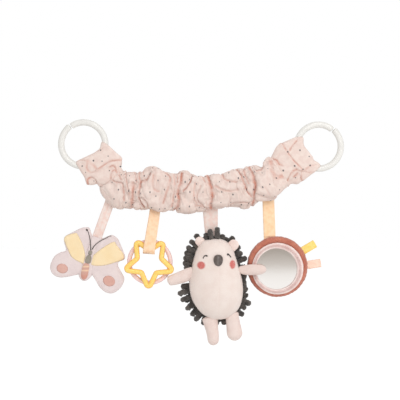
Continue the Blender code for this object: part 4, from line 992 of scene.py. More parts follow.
# %% [markdown]
# ## Sleeve: its surface
#
# Rings of points follow the edges, and every gather and crease pulls them in. The place of each point
# on the uncut cloth is kept beside it, so the printed dots keep their size where the cloth is gathered.

# %% Surface of the sleeve
# Half the depth front to back, at the necks and where the sleeve is full
NECK_DEPTH, FULL_DEPTH = 0.0085, 0.0152
# Length of the uncut cloth, and how much of it one radian of the tube takes
CLOTH_LENGTH, CLOTH_ROUND = 0.34, 0.021


def sleeve_surface(swell, crease):
    """The gathered tube's points, and how deep in a crease each is."""
    fullness = np.minimum(1, 9 * np.minimum(ALONG, 1 - ALONG))
    depth = NECK_DEPTH + (FULL_DEPTH - NECK_DEPTH) * fullness ** 0.7
    height = low_reach + (top_reach - low_reach) * (COS + 1) / 2
    side = upward[:, None] * (height * COS)[..., None]
    front = np.array([0, -1.0, 0]) * (depth * SIN)[..., None]
    lumps = bump_noise(middle[:, None] + side + front, 0.012, 3.0).reshape(ROWS + 1, ROUND)
    swell = (swell + 0.035 * lumps) * (1 + 0.05 * np.abs(SIN))
    at_edge = 0.45 + 0.55 * np.abs(SIN)
    points = middle[:, None] + side * (1 + (swell - 1) * at_edge)[..., None] + front * swell[..., None]
    drawn, shade = pressed_in(points[..., ::2].reshape(-1, 2), FRONT_CREASES)
    at_front = np.clip(np.broadcast_to(SIN, swell.shape) / 0.35, 0, 1) ** 0.8
    points[..., 1] += drawn.reshape(swell.shape) * at_front
    crease = np.maximum(crease, shade.reshape(swell.shape) * at_front)
    return points, np.clip(crease, 0, 1)


points, crease = sleeve_surface(swell, crease)
on_cloth = np.broadcast_arrays(ALONG * CLOTH_LENGTH, ANGLE[None] * CLOTH_ROUND, 0 * ALONG)
print("sleeve surface", points.shape)

# %% [markdown]
# ## Sleeve: letting the spare cloth buckle
#
# Between its gathers real cloth has spare length, and it buckles. A short cloth simulation does that:
# the cloth is given more length than it covers, the creases are held the most, a little pressure
# stands in for the air and lining inside, and how far a point may move is capped.

# %% Buckling the sleeve
# Share of extra cloth, how far it may move from where it starts, and for how many frames
SPARE_CLOTH, MOST_BUCKLE, FRAMES = 0.14, 0.0026, 12
CLOTH_SETTINGS = {
    "vertex_group_mass": "pins", "pin_stiffness": 1.2, "shrink_min": -SPARE_CLOTH, "use_pressure": True,
    "uniform_pressure_force": 2.5, "mass": 0.001, "quality": 6, "tension_stiffness": 14,
    "compression_stiffness": 14, "shear_stiffness": 6, "bending_stiffness": 0.35, "air_damping": 3,
    "tension_damping": 8}


def buckled(points, crease):
    """The same points after the spare length between the creases has buckled."""
    piece = make("sleeve_trial", *skin(points), None)
    pins = piece.vertex_groups.new(name="pins")
    hold = np.clip(crease * 0.6, 0.01, 0.6)
    hold[:3], hold[-3:] = 1, 1
    for index, weight in enumerate(hold.ravel()):
        pins.add([index], float(weight), "REPLACE")
    cloth = piece.modifiers.new("cloth", "CLOTH")
    for key, value in CLOTH_SETTINGS.items():
        setattr(cloth.settings, key, value)
    cloth.settings.effector_weights.gravity = 0
    cloth.collision_settings.use_collision = False
    scene = bpy.context.scene
    for now in range(1, FRAMES + 1):
        scene.frame_set(now)
    shown = piece.evaluated_get(bpy.context.evaluated_depsgraph_get())
    shift = points_of(shown).reshape(points.shape) - points
    scene.frame_set(1)
    bpy.data.objects.remove(piece)
    far = np.linalg.norm(shift, axis=2, keepdims=True)
    print("sleeve buckled by up to", round(float(far.max()) * 1000, 1), "mm")
    return points + shift * np.minimum(1, MOST_BUCKLE / np.maximum(far, 1e-9))


points = buckled(points, crease)
sleeve = make("gathered_sleeve", *skin(points), cotton, "sleeve", ["sleeve"])
give(sleeve, "crease", crease.ravel())
give(sleeve, "cloth", np.stack(on_cloth, axis=-1))
# The flat band that gathers it, a tube with a nearly square section
tube("elastic_in_sleeve", middle[2:-2:6], 0.0099, webbing, deep=0.0007, sides=16, power=6, body="sleeve",
     nodes=["elastic_band"])
print("sleeve", len(sleeve.data.vertices), "points")

# %% [markdown]
# ## Cuffs: a pouch between four edges
#
# Each cuff is the flat end of the cloth tube, folded over a ring and sewn. It is a pouch between four
# measured edges: at the ring, both sides, and at the neck. Its places are found the way a stretched
# cloth fills a wire frame, and then it is given depth.

# %% A pouch between four edges
CUFF_LENGTH, CUFF_DEPTH = 0.055, 0.0144
CUFF_ROWS, CUFF_ROUND = 96, 120
# How full the pouch is, from the ring to the neck
CUFF_FILL = (
    (0, 0.26), (0.012, 0.60), (0.04, 0.84), (0.1, 0.97), (0.3, 1.03), (0.6, 1.0), (0.9, 0.98), (1, 0.88))
# How square its section is, from the ring to the neck
CUFF_SECTION = ((0, 4.6), (0.6, 3.4), (1, 2.1))


def between_edges(u, t, at_ring, first, second, at_neck):
    """Places in a frame of four edges: u runs from ring to neck, t from the first side to the second."""
    def on(edge, where):
        marks = np.linspace(0, 1, len(edge))
        return np.stack([np.interp(where, marks, edge[:, k]) for k in (0, 1)], axis=-1)

    u2, t2 = u[..., None], t[..., None]
    corners = ((1 - u2) * ((1 - t2) * at_ring[0] + t2 * at_ring[-1])
               + u2 * ((1 - t2) * at_neck[0] + t2 * at_neck[-1]))
    return ((1 - u2) * on(at_ring, t) + u2 * on(at_neck, t)
            + (1 - t2) * on(first, u) + t2 * on(second, u) - corners)


def pouch(edges):
    """The places (x, z) of a cuff's points, and how far each stands in front of its middle."""
    u = np.broadcast_to(np.linspace(0, 1, CUFF_ROWS)[:, None] ** 1.25, (CUFF_ROWS, CUFF_ROUND))
    angle = np.arange(CUFF_ROUND) * math.tau / CUFF_ROUND
    cos, sin = np.cos(angle), np.sin(angle)
    power = np.interp(u, *zip(*CUFF_SECTION))
    t = 0.5 + 0.5 * np.sign(cos) * np.abs(cos) ** (2 / power)
    fill = np.interp(u, *zip(*CUFF_FILL)) * CUFF_DEPTH / 2
    deep = (fill * np.sign(sin) * np.abs(sin) ** (2 / power)).ravel()
    lines = [smooth_line(plan(edge), 120) for edge in edges]
    return between_edges(u, t, *lines).reshape(-1, 2), deep


print("a cuff has", CUFF_ROWS * CUFF_ROUND, "points")

# %% [markdown]
# ## Cuffs: folds
#
# The folds are drawn where the real cloth has them, each with one side lying over the other, and small
# ones fan out from the neck.

# %% A cuff with its folds


def folded(flat, ahead, folds):
    """How far the drawn folds lift the front, and how creased they leave it."""
    lift, crease = np.zeros(len(flat)), np.zeros(len(flat))
    for points, step, width in folds:
        path = smooth_line(plan(points), 40)
        gap = flat[:, None] - path[None]
        near = np.argmin(np.linalg.norm(gap, axis=2), axis=1)
        direction = np.gradient(path, axis=0)[near]
        gap = gap[np.arange(len(flat)), near]
        size = np.linalg.norm(gap, axis=1)
        upper = (direction[:, 0] * gap[:, 1] - direction[:, 1] * gap[:, 0] > 0) == (step > 0)
        rise = abs(step) * np.exp(-size / 0.008) * upper
        valley = hill(size, width * PIXEL)
        lift += ahead * (rise - 0.6 * abs(step) * valley)
        shade = ahead * min(1, abs(step) / 0.0012) * valley * np.where(upper, 0.45, 0.85)
        crease = np.maximum(crease, shade)
    return lift, crease


def fanned(far, beside, fans, draw, lift, crease):
    """The same with small folds added that fan out from the neck."""
    for at, strength in fans:
        lean = draw.uniform(-0.25, 0.25)
        back = CUFF_LENGTH * 1.08 - far
        line_at = at * PIXEL * (1 + 0.9 * back / 0.03) + lean * back + 0.0008 * np.sin(back * 260 + at)
        gap = (beside - line_at) / (0.0011 + 0.03 * np.abs(back))
        fade = np.exp(-np.maximum(back, 0) / draw.uniform(0.007, 0.014))
        lift -= strength * 0.0016 * fade * hill(gap, 1)
        crease = np.maximum(crease, strength * 0.9 * fade * hill(gap, 0.7))
    return lift, crease


def cuff(side, ring, along, edges, folds, fans, seed):
    """A pouch of cloth with its folds, baked in place; it rides on no body."""
    flat, deep = pouch(edges)
    across = np.array([-along[2], 0, along[0]])
    off = flat - ring[::2]
    far, beside = off @ along[::2], off @ across[::2]
    ahead = deep > 0
    lift, crease = fanned(far, beside, fans, random.Random(seed), *folded(flat, ahead, folds))
    points = np.column_stack([flat[:, 0], -deep, flat[:, 1]])
    outward = unit(np.column_stack([0 * deep, -deep, 0 * deep]) + across * (0.25 * beside[:, None]))
    lumps = bump_noise(points, 0.011, seed * 1.7) * 0.0007
    points = points + outward * (lift + lumps)[:, None]
    # The mouth at the ring is closed straight across, from the front to the back
    last, half = CUFF_ROUND, CUFF_ROUND // 2
    mouth = [(k, k + 1, last - k - 1, (last - k) % last) for k in range(1, half - 1)]
    mouth += [(0, 1, last - 1), (half, half - 1, half + 1)]
    faces = ring_faces(CUFF_ROWS, CUFF_ROUND)
    node = side + "_cuff"
    piece = make(node + "_cloth", points, faces[:-2] + faces[-1:] + mouth, cotton, nodes=[node])
    give(piece, "crease", np.clip(crease, 0, 1))
    give(piece, "cloth", np.column_stack([far + seed, beside + 0.02 * ahead, 0 * far]))
    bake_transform(piece)
    print(piece.name, len(points), "points")


print("cuff tools ready")

# %% [markdown]
# ## Cuffs: measured edges and folds
#
# The edges run from the first side to the second at the ring, along the two sides, and across the
# neck. A fold's second value says how far its upper side stands over the lower one, and its sign says
# which side that is.

# %% Both cuffs
LEFT_EDGES = (
    ((77.2, 165.4), (76.6, 161.6), (82.5, 158.2), (89.9, 154.9), (96, 152), (99.4, 149.2), (100.6, 145),
     (102.2, 141.8),
     (106, 143.4), (109.6, 146.4)),
    ((77.2, 165.4), (80.6, 170.2), (84.2, 175.4), (86.2, 180), (88, 184.6), (93, 185), (97.6, 184.2),
     (102, 189.6)),
    ((109.6, 146.4), (115, 151.5), (120.6, 157), (122, 162), (121.3, 168), (124, 172.4)),
    ((102, 189.6), (113, 181), (124, 172.4)))
LEFT_FOLDS = (
    (((88.3, 160.4), (92.6, 164.8), (97, 169.2)), -0.0013, 0.7),
    (((97, 169.8), (102.5, 166.4), (108.8, 162.3), (115, 160.6), (121.5, 160.4)), 0.0012, 0.9),
    (((76.5, 161.6), (81, 159.9), (88.3, 160.6)), 0.0006, 0.7),
    (((88.2, 161.5), (87.6, 168), (90.8, 172.1), (95.7, 172.1), (99, 170.5)), -0.0008, 1.0),
    (((88.3, 184.8), (88.1, 179.5), (92.4, 176.8), (96.2, 179.4), (97.6, 184)), 0.0013, 1.0),
    (((99.2, 149), (101.5, 149.6), (103, 148.2)), 0.0006, 0.8),
    (((110.6, 166.6), (113.6, 165.6), (116.2, 168.4), (117.2, 172.4)), 0.0012, 0.9),
    (((111.6, 178.6), (111.8, 173.4), (114.4, 170.6), (116.6, 171.6)), -0.0011, 0.9))
RIGHT_EDGES = (
    ((296.5, 136.9), (300, 136.4), (303.2, 137.6), (303.9, 145.2), (308, 151), (312.3, 155.9), (313.6, 159.8),
     (317.4, 162), (320.3, 165.4), (317.6, 169.4)),
    ((296.5, 136.9), (291, 139.2), (285.3, 141.6), (280.4, 144.2), (275.6, 148.6), (272.4, 154.4),
     (270.4, 158.6)),
    ((317.6, 169.4), (310, 175.2), (302.7, 181), (297.2, 183.8), (291, 183.8), (288.2, 187.2)),
    ((270.4, 158.6), (279.5, 173), (288.2, 187.2)))
RIGHT_FOLDS = (
    (((282, 144.6), (285.6, 150.7), (291.8, 159.6), (298, 165.8), (300.6, 169.5),
      (300, 177.5)), -0.0016, 0.9),
    (((296, 141.8), (292.4, 146), (289.8, 150.4)), 0.0010, 1.3),
    (((272.4, 159.4), (276, 160.6), (278.5, 164.7), (281.6, 166)), -0.0014, 1.2),
    (((286, 182), (289.4, 174.5), (294.4, 169.4), (299.8, 170.6)), 0.0013, 0.9),
    (((293.4, 176.2), (296.4, 172.8)), 0.0012, 1.3),
    (((301, 178.5), (302.6, 181.4)), 0.0010, 0.9),
    (((302, 171), (308.5, 166.4), (315, 164.4)), 0.0006, 1.3),
    (((300, 169.6), (306, 171.6), (311, 172.4)), 0.0005, 1.2))
LEFT_FANS = ((-9, 0.25), (4, 0.35), (10.5, 0.4))
RIGHT_FANS = ((-13, 0.3), (12, 0.3))
cuff("left", LEFT_RING, LEFT_ALONG, LEFT_EDGES, LEFT_FOLDS, LEFT_FANS, 1)
cuff("right", RIGHT_RING, RIGHT_ALONG, RIGHT_EDGES, RIGHT_FOLDS, RIGHT_FANS, 2)

# %% [markdown]
# ## The split rings
#
# Moulded milky plastic, round in section, with one narrow split: one end is rounded and stands slightly
# inward, and the other steps outward. The CAD ring has few sides, so a fine one replaces it, on the same
# centre and split.

# %% Split rings
RING_RADIUS, RING_TUBE = 0.0286, 0.0041
# Half the split, how far an end steps aside, over what turn it does so, and how blunt the ends are
SPLIT_GAP, SPLIT_STEP, STEP_TURN, BLUNT = 0.0004, 0.0006, 0.35, 0.35


def split_ring(side, centre, split, inward):
    cap = RING_TUBE / RING_RADIUS
    gap = SPLIT_GAP / RING_RADIUS
    turn = np.linspace(split + gap, split + math.tau - gap, 240)
    near = np.minimum(turn - turn[0], turn[-1] - turn) / (cap * BLUNT)
    wide = RING_TUBE * np.sqrt(np.clip(1 - (1 - np.clip(near, 0, 1)) ** 2, 0.003, 1))
    step = SPLIT_STEP * inward
    radius = RING_RADIUS + step * np.exp(-(turn - turn[0]) / STEP_TURN)
    radius = radius - step * np.exp(-(turn[-1] - turn) / STEP_TURN)
    path = centre + np.column_stack([radius * np.cos(turn), 0 * turn, radius * np.sin(turn)])
    node = side + "_ring"
    tube(side + "_split_ring", path, wide, milky, sides=32, body=node, nodes=[node])


split_ring("left", LEFT_RING, math.radians(125), 1)
split_ring("right", RIGHT_RING, math.radians(50), -1)
print("two split rings, tube", RING_TUBE * 2000, "mm thick")

# %% [markdown]
# ## Ribbons: a flat woven strip
#
# Each toy hangs on a woven ribbon sewn into the sleeve's lower seam. A ribbon is thin and flat, with
# soft edges, a slight curl and the fold that it keeps from being stored. A plane with a thickness
# modifier could stand for it, but then its edges would be sharp.

# %% A flat woven strip
STRIP_COLUMNS = 11


def strip(path, wide, thick, curl):
    """A ribbon along a path of points, as a closed flat form; wide and curl may change along it."""
    path = np.asarray(path, float)
    run = unit(np.gradient(path, axis=0))
    side = unit(np.column_stack([run[:, 2], 0 * run[:, 0], -run[:, 0]]))
    side = np.where(np.abs(run[:, 1:2]) > 0.98, np.array([1.0, 0, 0]), side)
    face = np.cross(side, run)
    across = np.linspace(-1, 1, STRIP_COLUMNS)
    wide = np.broadcast_to(wide, len(path))[:, None]
    curl = np.broadcast_to(curl, len(path))[:, None]
    sag = curl * (across[None] ** 2 - 0.4)
    half = thick / 2 * np.sqrt(np.clip(1 - np.abs(across) ** 8, 0.08, 1))[None]
    spread = path[:, None] + side[:, None] * (wide * across[None])[..., None]
    ahead = spread + face[:, None] * (sag + half)[..., None]
    behind = spread + face[:, None] * (sag - half)[..., None]
    rings = np.concatenate([ahead, behind[:, ::-1]], axis=1)
    return rings, np.concatenate([across, across[::-1]])


def lay_flat(piece, path, across, half):
    """Give a ribbon's points their place on the flat ribbon. Returns how far along it each row is."""
    along = run_along(path)
    places = np.broadcast_arrays(across[None] * half, along[:, None], 0 * along[:, None])
    give(piece, "cloth", np.stack(places, axis=-1))
    return along


def ribbon(toy, finish, path, wide, thick=0.0009, curl=0.0, fold=None, hung=True):
    """A toy's ribbon, which hangs from the sleeve, or else its short end sewn to the toy."""
    rings, across = strip(path, wide, thick, curl)
    piece = make(toy + ("_ribbon_cloth" if hung else "_ribbon_end"), *skin(rings), finish, slot=True)
    half = float(np.mean(wide))
    run = lay_flat(piece, path, across, half)
    crease = np.zeros((len(path), len(across)))
    # Painted shade along the stored fold; both edges are darker too
    if fold is not None:
        crease = crease + 0.8 * hill(across[None] - fold, 0.12)
    edge = 0.35 * (np.abs(across[None]) > 0.95)
    give(piece, "crease", np.clip(crease + edge, 0, 1).ravel())
    if hung:
        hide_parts(toy + "_strap")
        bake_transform(piece)
    else:
        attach(piece, toy + "_toy")


print("ribbon tools ready")

# %% [markdown]
# ## Ribbons: the four that carry the toys
#
# Three hang straight between their seams. The star's ribbon is a loop that goes round the star and the
# ring behind it, and comes back up to the seam.

# %% The four ribbons


def hanging(top, bottom, top_y, bottom_y, bow=0.0, count=40):
    """The middle line of a ribbon between two measured places, with a slight bow to the front."""
    a, b = spot(*top, top_y), spot(*bottom, bottom_y)
    share = np.linspace(0, 1, count)[:, None]
    ease = share * share * (3 - 2 * share)
    line = a + (b - a) * share
    line[:, 1] = (a[1] + (b[1] - a[1]) * ease[:, 0]) - bow * np.sin(math.pi * share[:, 0])
    return line


ribbon("butterfly", pale_ribbon, hanging((110.2, 201.2), (97.1, 237.2), 0.004, 0.004, 0.0015), 0.0063,
       curl=-0.0006, fold=0.05)
ribbon("hedgehog", pale_ribbon, hanging((210.1, 206.5), (211.6, 239.0), 0.004, 0.0085),
       np.linspace(0.0100, 0.0080, 40), curl=-0.0004, fold=-0.1)
ribbon("mirror", apricot_ribbon, hanging((268.1, 194.5), (269.6, 236.8), 0.0085, 0.0092), 0.0077, curl=0.0003)
ribbon("mirror", apricot_ribbon, hanging((269.55, 235.4), (269.8, 243.4), 0.0098, 0.0098), 0.0076,
       thick=0.0007, hung=False)

# Measured x and y, and the depth: down the front of the star, and up behind the ring
LOOP_PLACES = (
    (155.3, 208.0, 0.0032), (153.9, 218.5, -0.001), (151.6, 233.5, -0.0085), (149.8, 245.0, -0.0103),
    (148.9, 250.8, -0.0101), (148.8, 253.0, -0.0062), (148.8, 253.2, 0.002), (148.9, 251.4, 0.0082),
    (149.6, 245.5, 0.0096), (151.4, 233.5, 0.0086), (153.9, 218.5, 0.0062), (155.3, 208.0, 0.0048))
loop_line = smooth_line([spot(*place) for place in LOOP_PLACES], 110)
widths = np.interp(np.linspace(0, 1, 110), [0, 0.3, 0.47, 0.53, 0.7, 1],
                   [0.0069, 0.0073, 0.0078, 0.0078, 0.0073, 0.0069])
ribbon("star", peach_ribbon, loop_line, widths, curl=0.0002)
print("four ribbons")

# %% [markdown]
# ## The star teether and its ring
#
# A single smooth tube of yellow silicone bent into a star, its five corners rounded, with a
# translucent pink ring lying behind it. Both hang in the ribbon's loop.

# %% Star teether and its ring
STAR_CORNERS = (
    (148.5, 289.4), (141.4, 272.3), (123.6, 270.1), (137.4, 258.3), (135.8, 240.2), (149.6, 250.4),
    (163.8, 241.1), (161.3, 258.5), (174.3, 271.1), (156.2, 272.8))
STAR_TUBE, STAR_DEPTH, CORNER_RADIUS = 0.0034, -0.0034, 0.0030
TEETHER_CENTRE, TEETHER_RADIUS = np.array([-0.0666, 0.00295, -0.1517]), 0.02675


def rounded(corners, radius, count):
    """A closed line with straight sides, its corners rounded to about that radius."""
    pieces = []
    for before, here, after in zip(np.roll(corners, 1, 0), corners, np.roll(corners, -1, 0)):
        a, b = before - here, after - here
        la, lb = np.linalg.norm(a), np.linalg.norm(b)
        turn = math.acos(np.clip(a @ b / la / lb, -1, 1))
        cut = min(radius / math.tan(turn / 2), 0.48 * la, 0.48 * lb)
        middle = here + unit(a / la + b / lb) * cut / math.cos(turn / 2)
        start, end, sweep = here + a / la * cut - middle, here + b / lb * cut - middle, math.pi - turn
        t = np.linspace(0, 1, 12)[:, None]
        pieces.append(middle + (start * np.sin((1 - t) * sweep) + end * np.sin(t * sweep)) / math.sin(sweep))
    pieces.append(pieces[0][:1])
    return even(np.vstack(pieces), count, True)


path = rounded(plan(STAR_CORNERS, STAR_DEPTH), CORNER_RADIUS, 340)
path = np.column_stack([path[:, 0], np.full(len(path), STAR_DEPTH), path[:, 1]])
tube("star_tube", path, STAR_TUBE, silicone, sides=28, closed=True, body="star", nodes=["star_teether"])
turn = np.linspace(0, math.tau, 160, endpoint=False)
path = TEETHER_CENTRE + TEETHER_RADIUS * np.column_stack([np.cos(turn), 0 * turn, np.sin(turn)])
tube("pink_teether_ring", path, 0.00285, pink_silicone, deep=0.0026, sides=26, closed=True,
     body="teether_ring", nodes=["pink_ring"])
print("star and ring")

# %% [markdown]
# ## Butterfly: cut outlines
#
# Two brushed-cotton wings, each cut front and back, sewn together and lightly stuffed, join a slim
# padded body. The yellow fields are separate patches. All of them are cut from flat cloth, so their
# outlines are drawn flat, as measured.

# %% Cut outlines of the butterfly
LEFT_WING = (
    (92.4, 236.6), (91.0, 231.8), (89.4, 227.7), (85.8, 227.1), (80.7, 228.1), (73.1, 231.9), (66.7, 235.1),
    (64.1, 238.3), (64.5, 243.4), (66, 249.1), (65.0, 251), (60.3, 252.3), (54.6, 256.1), (51.1, 262.5),
    (50.1, 267.6), (51.4, 272.1), (55.2, 275.9), (60.9, 277.5), (68, 276.8), (73.1, 275.6), (77.4, 274.7),
    (81.0, 272.4), (85.6, 258.8), (90.1, 243.7))
RIGHT_WING = (
    (101.2, 238.7), (104.3, 237.7), (108.8, 235.7), (112, 234.9), (115.2, 236.4), (118.3, 239.5),
    (121.5, 246.6), (125, 255.5), (124.1, 259.6), (118.6, 262.2), (118.5, 266.3), (121.5, 272.3),
    (124.4, 278.4), (122.2, 285.5), (117.7, 290.6), (112, 293.4), (105.6, 292.2), (99.8, 287.4), (96, 281),
    (92.0, 274.6), (89.2, 271.3), (92.2, 259.0), (96.4, 245.0))
LEFT_PATCH = (
    (66.1, 235.7), (75.4, 233), (78.1, 235.2), (82.4, 243.8), (85.1, 253.6), (85.1, 257.9), (83.5, 263.4),
    (80.8, 262.8), (72.1, 257.4), (68.3, 250.4), (64.5, 241.7), (64, 239))
RIGHT_PATCH = (
    (91.3, 258), (96.5, 252.5), (104.6, 246.6), (113.8, 241.7), (117.1, 245.5), (122.5, 252.5),
    (123.8, 255.6),
    (123, 259.6), (115.5, 262.3), (103.5, 265.5), (91.6, 264.8))
BODY_BASE = (
    (91.6, 236.5), (89.3, 243.3), (84.4, 259), (79.7, 272), (78.6, 274.5), (79.5, 277.5), (81.5, 280),
    (84.5, 281), (87.5, 280), (91, 276.5), (92.6, 273.5), (93.6, 262), (97.6, 246), (102.4, 238.8),
    (97.5, 236.8))
# Where the seam is, and the depth at which the patches were measured
WING_SEAM, PATCH_DEPTH = 0.004, 0.0006


def cut_line(pixels, depth, drawn, count):
    """A measured outline as a closed line of that many evenly spaced places (x, z)."""
    return even(smooth_line(plan(pixels, depth), drawn, True), count, True)


def bend_at_seam(piece):
    """Bakes the piece's place into its points; it rides on no body."""
    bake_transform(piece)


print("outlines of the butterfly ready")

# %% [markdown]
# ## Butterfly: wings, patches and spots
#
# A wing puffs up within its hem, where a row of stitches presses it flat. The yellow patches and salmon
# spots are laid on the puffed front and sewn down at their edges, so each follows the wing's height.

# %% Wings, patches and spots
WING_PUFF, WING_HEM = 0.0034, 0.0024


def wing_front(outline):
    """What says how far the front of a wing stands out from its seam."""
    film = Film(outline, 0.0007)

    def front(places):
        puff = WING_PUFF * (1 - np.exp(-film.at(places) / 0.0055))
        hem = distance_to(places, outline) - WING_HEM
        lumps = flat_noise(places, 0.010, 5.0)
        return puff - 0.0005 * hill(hem, 0.0006) + 0.0003 * lumps * puff / WING_PUFF

    return front


def sewn_on(name, cut, finish, spacing, front):
    """A piece of cloth that lies on a wing, with its edge sewn down."""
    film = Film(cut, 0.0006)

    def lifted(places):
        return front(places) + 0.0005 * (1 - np.exp(-film.at(places) / 0.0012)) + 0.0001

    made = pillow(name, cut, spacing, WING_SEAM, lifted, lambda p: -front(p) + 0.0004, finish)
    moved = points_of(made)
    at_rim = np.abs(moved[:, 1] - WING_SEAM) < 1e-6
    moved[at_rim, 1] = WING_SEAM - front(moved[at_rim][:, ::2]) - 0.0001
    put(made, moved)
    # Painted shade just inside the sewn edge
    give(made, "crease", 0.2 * hill(distance_to(moved[:, ::2], cut) - 0.0011, 0.0004))
    bend_at_seam(made)


def wing(side, pixels, patch, spot_at, spot_size, spot_lean):
    """A stuffed wing with its patch and spot. Returns what says how far its front stands out."""
    outline = cut_line(pixels, WING_SEAM, 400, 300)
    front = wing_front(outline)
    piece = pillow(side + "_wing_cushion", outline, 0.0010, WING_SEAM, front, front, lilac,
                   nodes=[side + "_wing_" + part for part in ("front", "back", "filling")])
    # Painted shade in the stitched hem
    hem = distance_to(points_of(piece)[:, ::2], outline) - WING_HEM
    give(piece, "crease", 0.55 * hill(hem, 0.0005))
    bend_at_seam(piece)
    cut = cut_line(patch, PATCH_DEPTH, 300, 160)
    sewn_on(side + "_yellow_patch", cut, patch_yellow, 0.0011, front)
    turn = np.linspace(0, math.tau, 60, endpoint=False)
    lean = math.radians(spot_lean)
    oval = np.column_stack([np.cos(turn) * spot_size[0], np.sin(turn) * spot_size[1]]) * PIXEL
    oval = oval @ np.array([[math.cos(lean), -math.sin(lean)], [math.sin(lean), math.cos(lean)]])
    sewn_on(side + "_salmon_spot", oval + plan([spot_at], PATCH_DEPTH), spot_salmon, 0.0010, front)
    print(piece.name, len(piece.data.vertices), "points")
    return front


left_front = wing("left", LEFT_WING, LEFT_PATCH, (62.3, 268.5), (5.7, 4.8), 15)
right_front = wing("right", RIGHT_WING, RIGHT_PATCH, (109.0, 281.0), (6.2, 5.2), 25)

# %% [markdown]
# ## Butterfly: body
#
# The body is a padded base of the same cloth, with a grey head and chest over a striped tail. These are
# small stuffed rolls, so each is a row of rings with rounded ends.

# %% Body of the butterfly
base_line = cut_line(BODY_BASE, WING_SEAM, 300, 160)
base_film = Film(base_line, 0.0005)


def base_front(places):
    return 0.0031 * (1 - np.exp(-base_film.at(places) / 0.003))


base = pillow("butterfly_base", base_line, 0.0009, WING_SEAM, base_front, base_front, lilac,
              body="butterfly", nodes=["butterfly_body"])


def segment(name, pixels, halves, finish, depth, rows=46):
    """A small stuffed roll on the butterfly's body, along measured places with measured half widths."""
    line = smooth_line([spot(x, y, depth) for x, y in pixels], rows)
    wide = filled(halves, rows) * PIXEL
    wide = wide * round_ends(rows, 0.22)
    made = tube(name, line, wide, finish, deep=wide * 0.55, sides=28, body="butterfly")
    return made


tail = segment("striped_tail", [(87.0, 262.8), (85.7, 268), (84.5, 274), (83.4, 279.7)],
               (3.2, 3.5, 3.65, 2.7), abdomen, 0.0012)
places = points_of(tail)
down = 1 - (places[:, 2] - places[:, 2].min()) / np.ptp(places[:, 2])
stripes = sum(hill(down - at, 0.045) for at in (0.22, 0.45))
give(tail, "stripe", np.clip(0.8 * stripes, 0, 1))
# The tail is darker towards its lower end
give(tail, "crease", np.clip((down - 0.6) / 0.3, 0, 0.6))
segment("grey_chest", [(89.6, 254.9), (88.9, 257.5), (88.1, 260.5), (87.4, 263.6)], (2.1, 2.9, 3.05, 2.6),
        thorax_grey, 0.0008)
segment("grey_head", [(90.6, 250.5), (90.3, 252.5), (90.0, 254.8)], (1.7, 2.05, 1.8), thorax_grey, 0.0006)
print("base, tail, chest and head of the butterfly")

# %% [markdown]
# ## Butterfly: feelers
#
# The feelers are embroidered in dark thread over the body and the wing, and the left one ends in a
# knot. Each is a thin tube that follows whichever cloth stands out further.

# %% Feelers
FEELER_ROWS, KNOT_ROWS = 60, 12


def feeler(side, pixels, wing_front, knot):
    flat = smooth_line(plan(pixels, PATCH_DEPTH), FEELER_ROWS)
    ahead = np.maximum(wing_front(flat), base_front(flat))
    ahead = np.convolve(np.pad(ahead, 3, mode="edge"), np.ones(7) / 7, mode="valid")
    path = np.column_stack([flat[:, 0], WING_SEAM - ahead - 0.0004, flat[:, 1]])
    half = filled((0.00060, 0.00048, 0.00032), FEELER_ROWS)
    shapes = [skin(rings_along(path, half * round_ends(FEELER_ROWS, 0.03), sides=10))]
    if knot:
        ball = np.array([path[-1] + [0, 0, 0.0013 * (t - 0.5) * 2] for t in np.linspace(0, 1, KNOT_ROWS)])
        shapes.append(skin(rings_along(ball, 0.0014 * round_ends(KNOT_ROWS, 0.5), sides=12)))
    bend_at_seam(make(side + "_feeler", *many(shapes), seam_thread))


feeler("left", [(90.8, 250.4), (90.5, 242.8), (89.4, 236.3), (87.8, 230.8), (86.9, 229.9)], left_front, True)
feeler("right", [(92.0, 249.8), (93.8, 246.6), (97, 243.3), (101.4, 240.3), (105.7, 238.2), (109.5, 236.2),
                 (111.6, 235.9)], right_front, False)
print("two feelers")

# %% [markdown]
# ## Hedgehog: belly
#
# The front is a pair of plush panels with a centre seam, stuffed full. A sphere could be squashed into
# it, but a film over the measured outline has the right fullness. Two cheeks are rubbed into the pile.

# %% Belly
BODY_OUTLINE = (
    (213.5, 238.5), (209.8, 239.2), (204, 240.6), (199.3, 245), (196.4, 249.8), (194.2, 256.5),
    (192.6, 262.2), (191.6, 268), (190.2, 275), (189.2, 283.3), (189.9, 291.9), (192.8, 301.4),
    (200.6, 312.2),
    (209.8, 318.2), (217.4, 319.6), (227, 318.2), (236.0, 312), (241.1, 303.3), (243.1, 291.5),
    (242.5, 281.3),
    (240.6, 273.0), (238.2, 265), (235.6, 256.5), (232.9, 248.8), (228.6, 243.1), (223.2, 239.6),
    (218, 238.4))
BODY_SEAM, BELLY_HEIGHT = 0.003, 0.0262
# Place, half width and half height of each cheek, in pixels
CHEEKS = (((201.1, 265.3), 3.9, 3.7), ((232.6, 264.6), 2.9, 4.2))
body_line = cut_line(BODY_OUTLINE, BODY_SEAM, 500, 330)
body_film = Film(body_line, 0.0010)
tallest = float(body_film.height.max())
low_seam = plan([(218.9, 266.5), (219.2, 275), (219.3, 290), (219.0, 305), (218.3, 318.5)], -0.015)
upper_seam = plan([(216.2, 239.0), (217.3, 247), (218.0, 255)], -0.012)


def to_seam(places, step):
    """How far the centre seam is. The upper part counts as a step further off, so it is shallower."""
    return np.minimum(distance_to(places, low_seam, False), distance_to(places, upper_seam, False) + step)


def belly_front(places):
    dome = BELLY_HEIGHT * (body_film.at(places) / tallest) ** 0.86
    groove = 0.00025 * hill(to_seam(places, 0.0006), 0.0014)
    hem = distance_to(places, body_line)
    return dome - groove + 0.0005 * flat_noise(places, 0.016, 9.0) * np.clip(hem / 0.01, 0, 1)


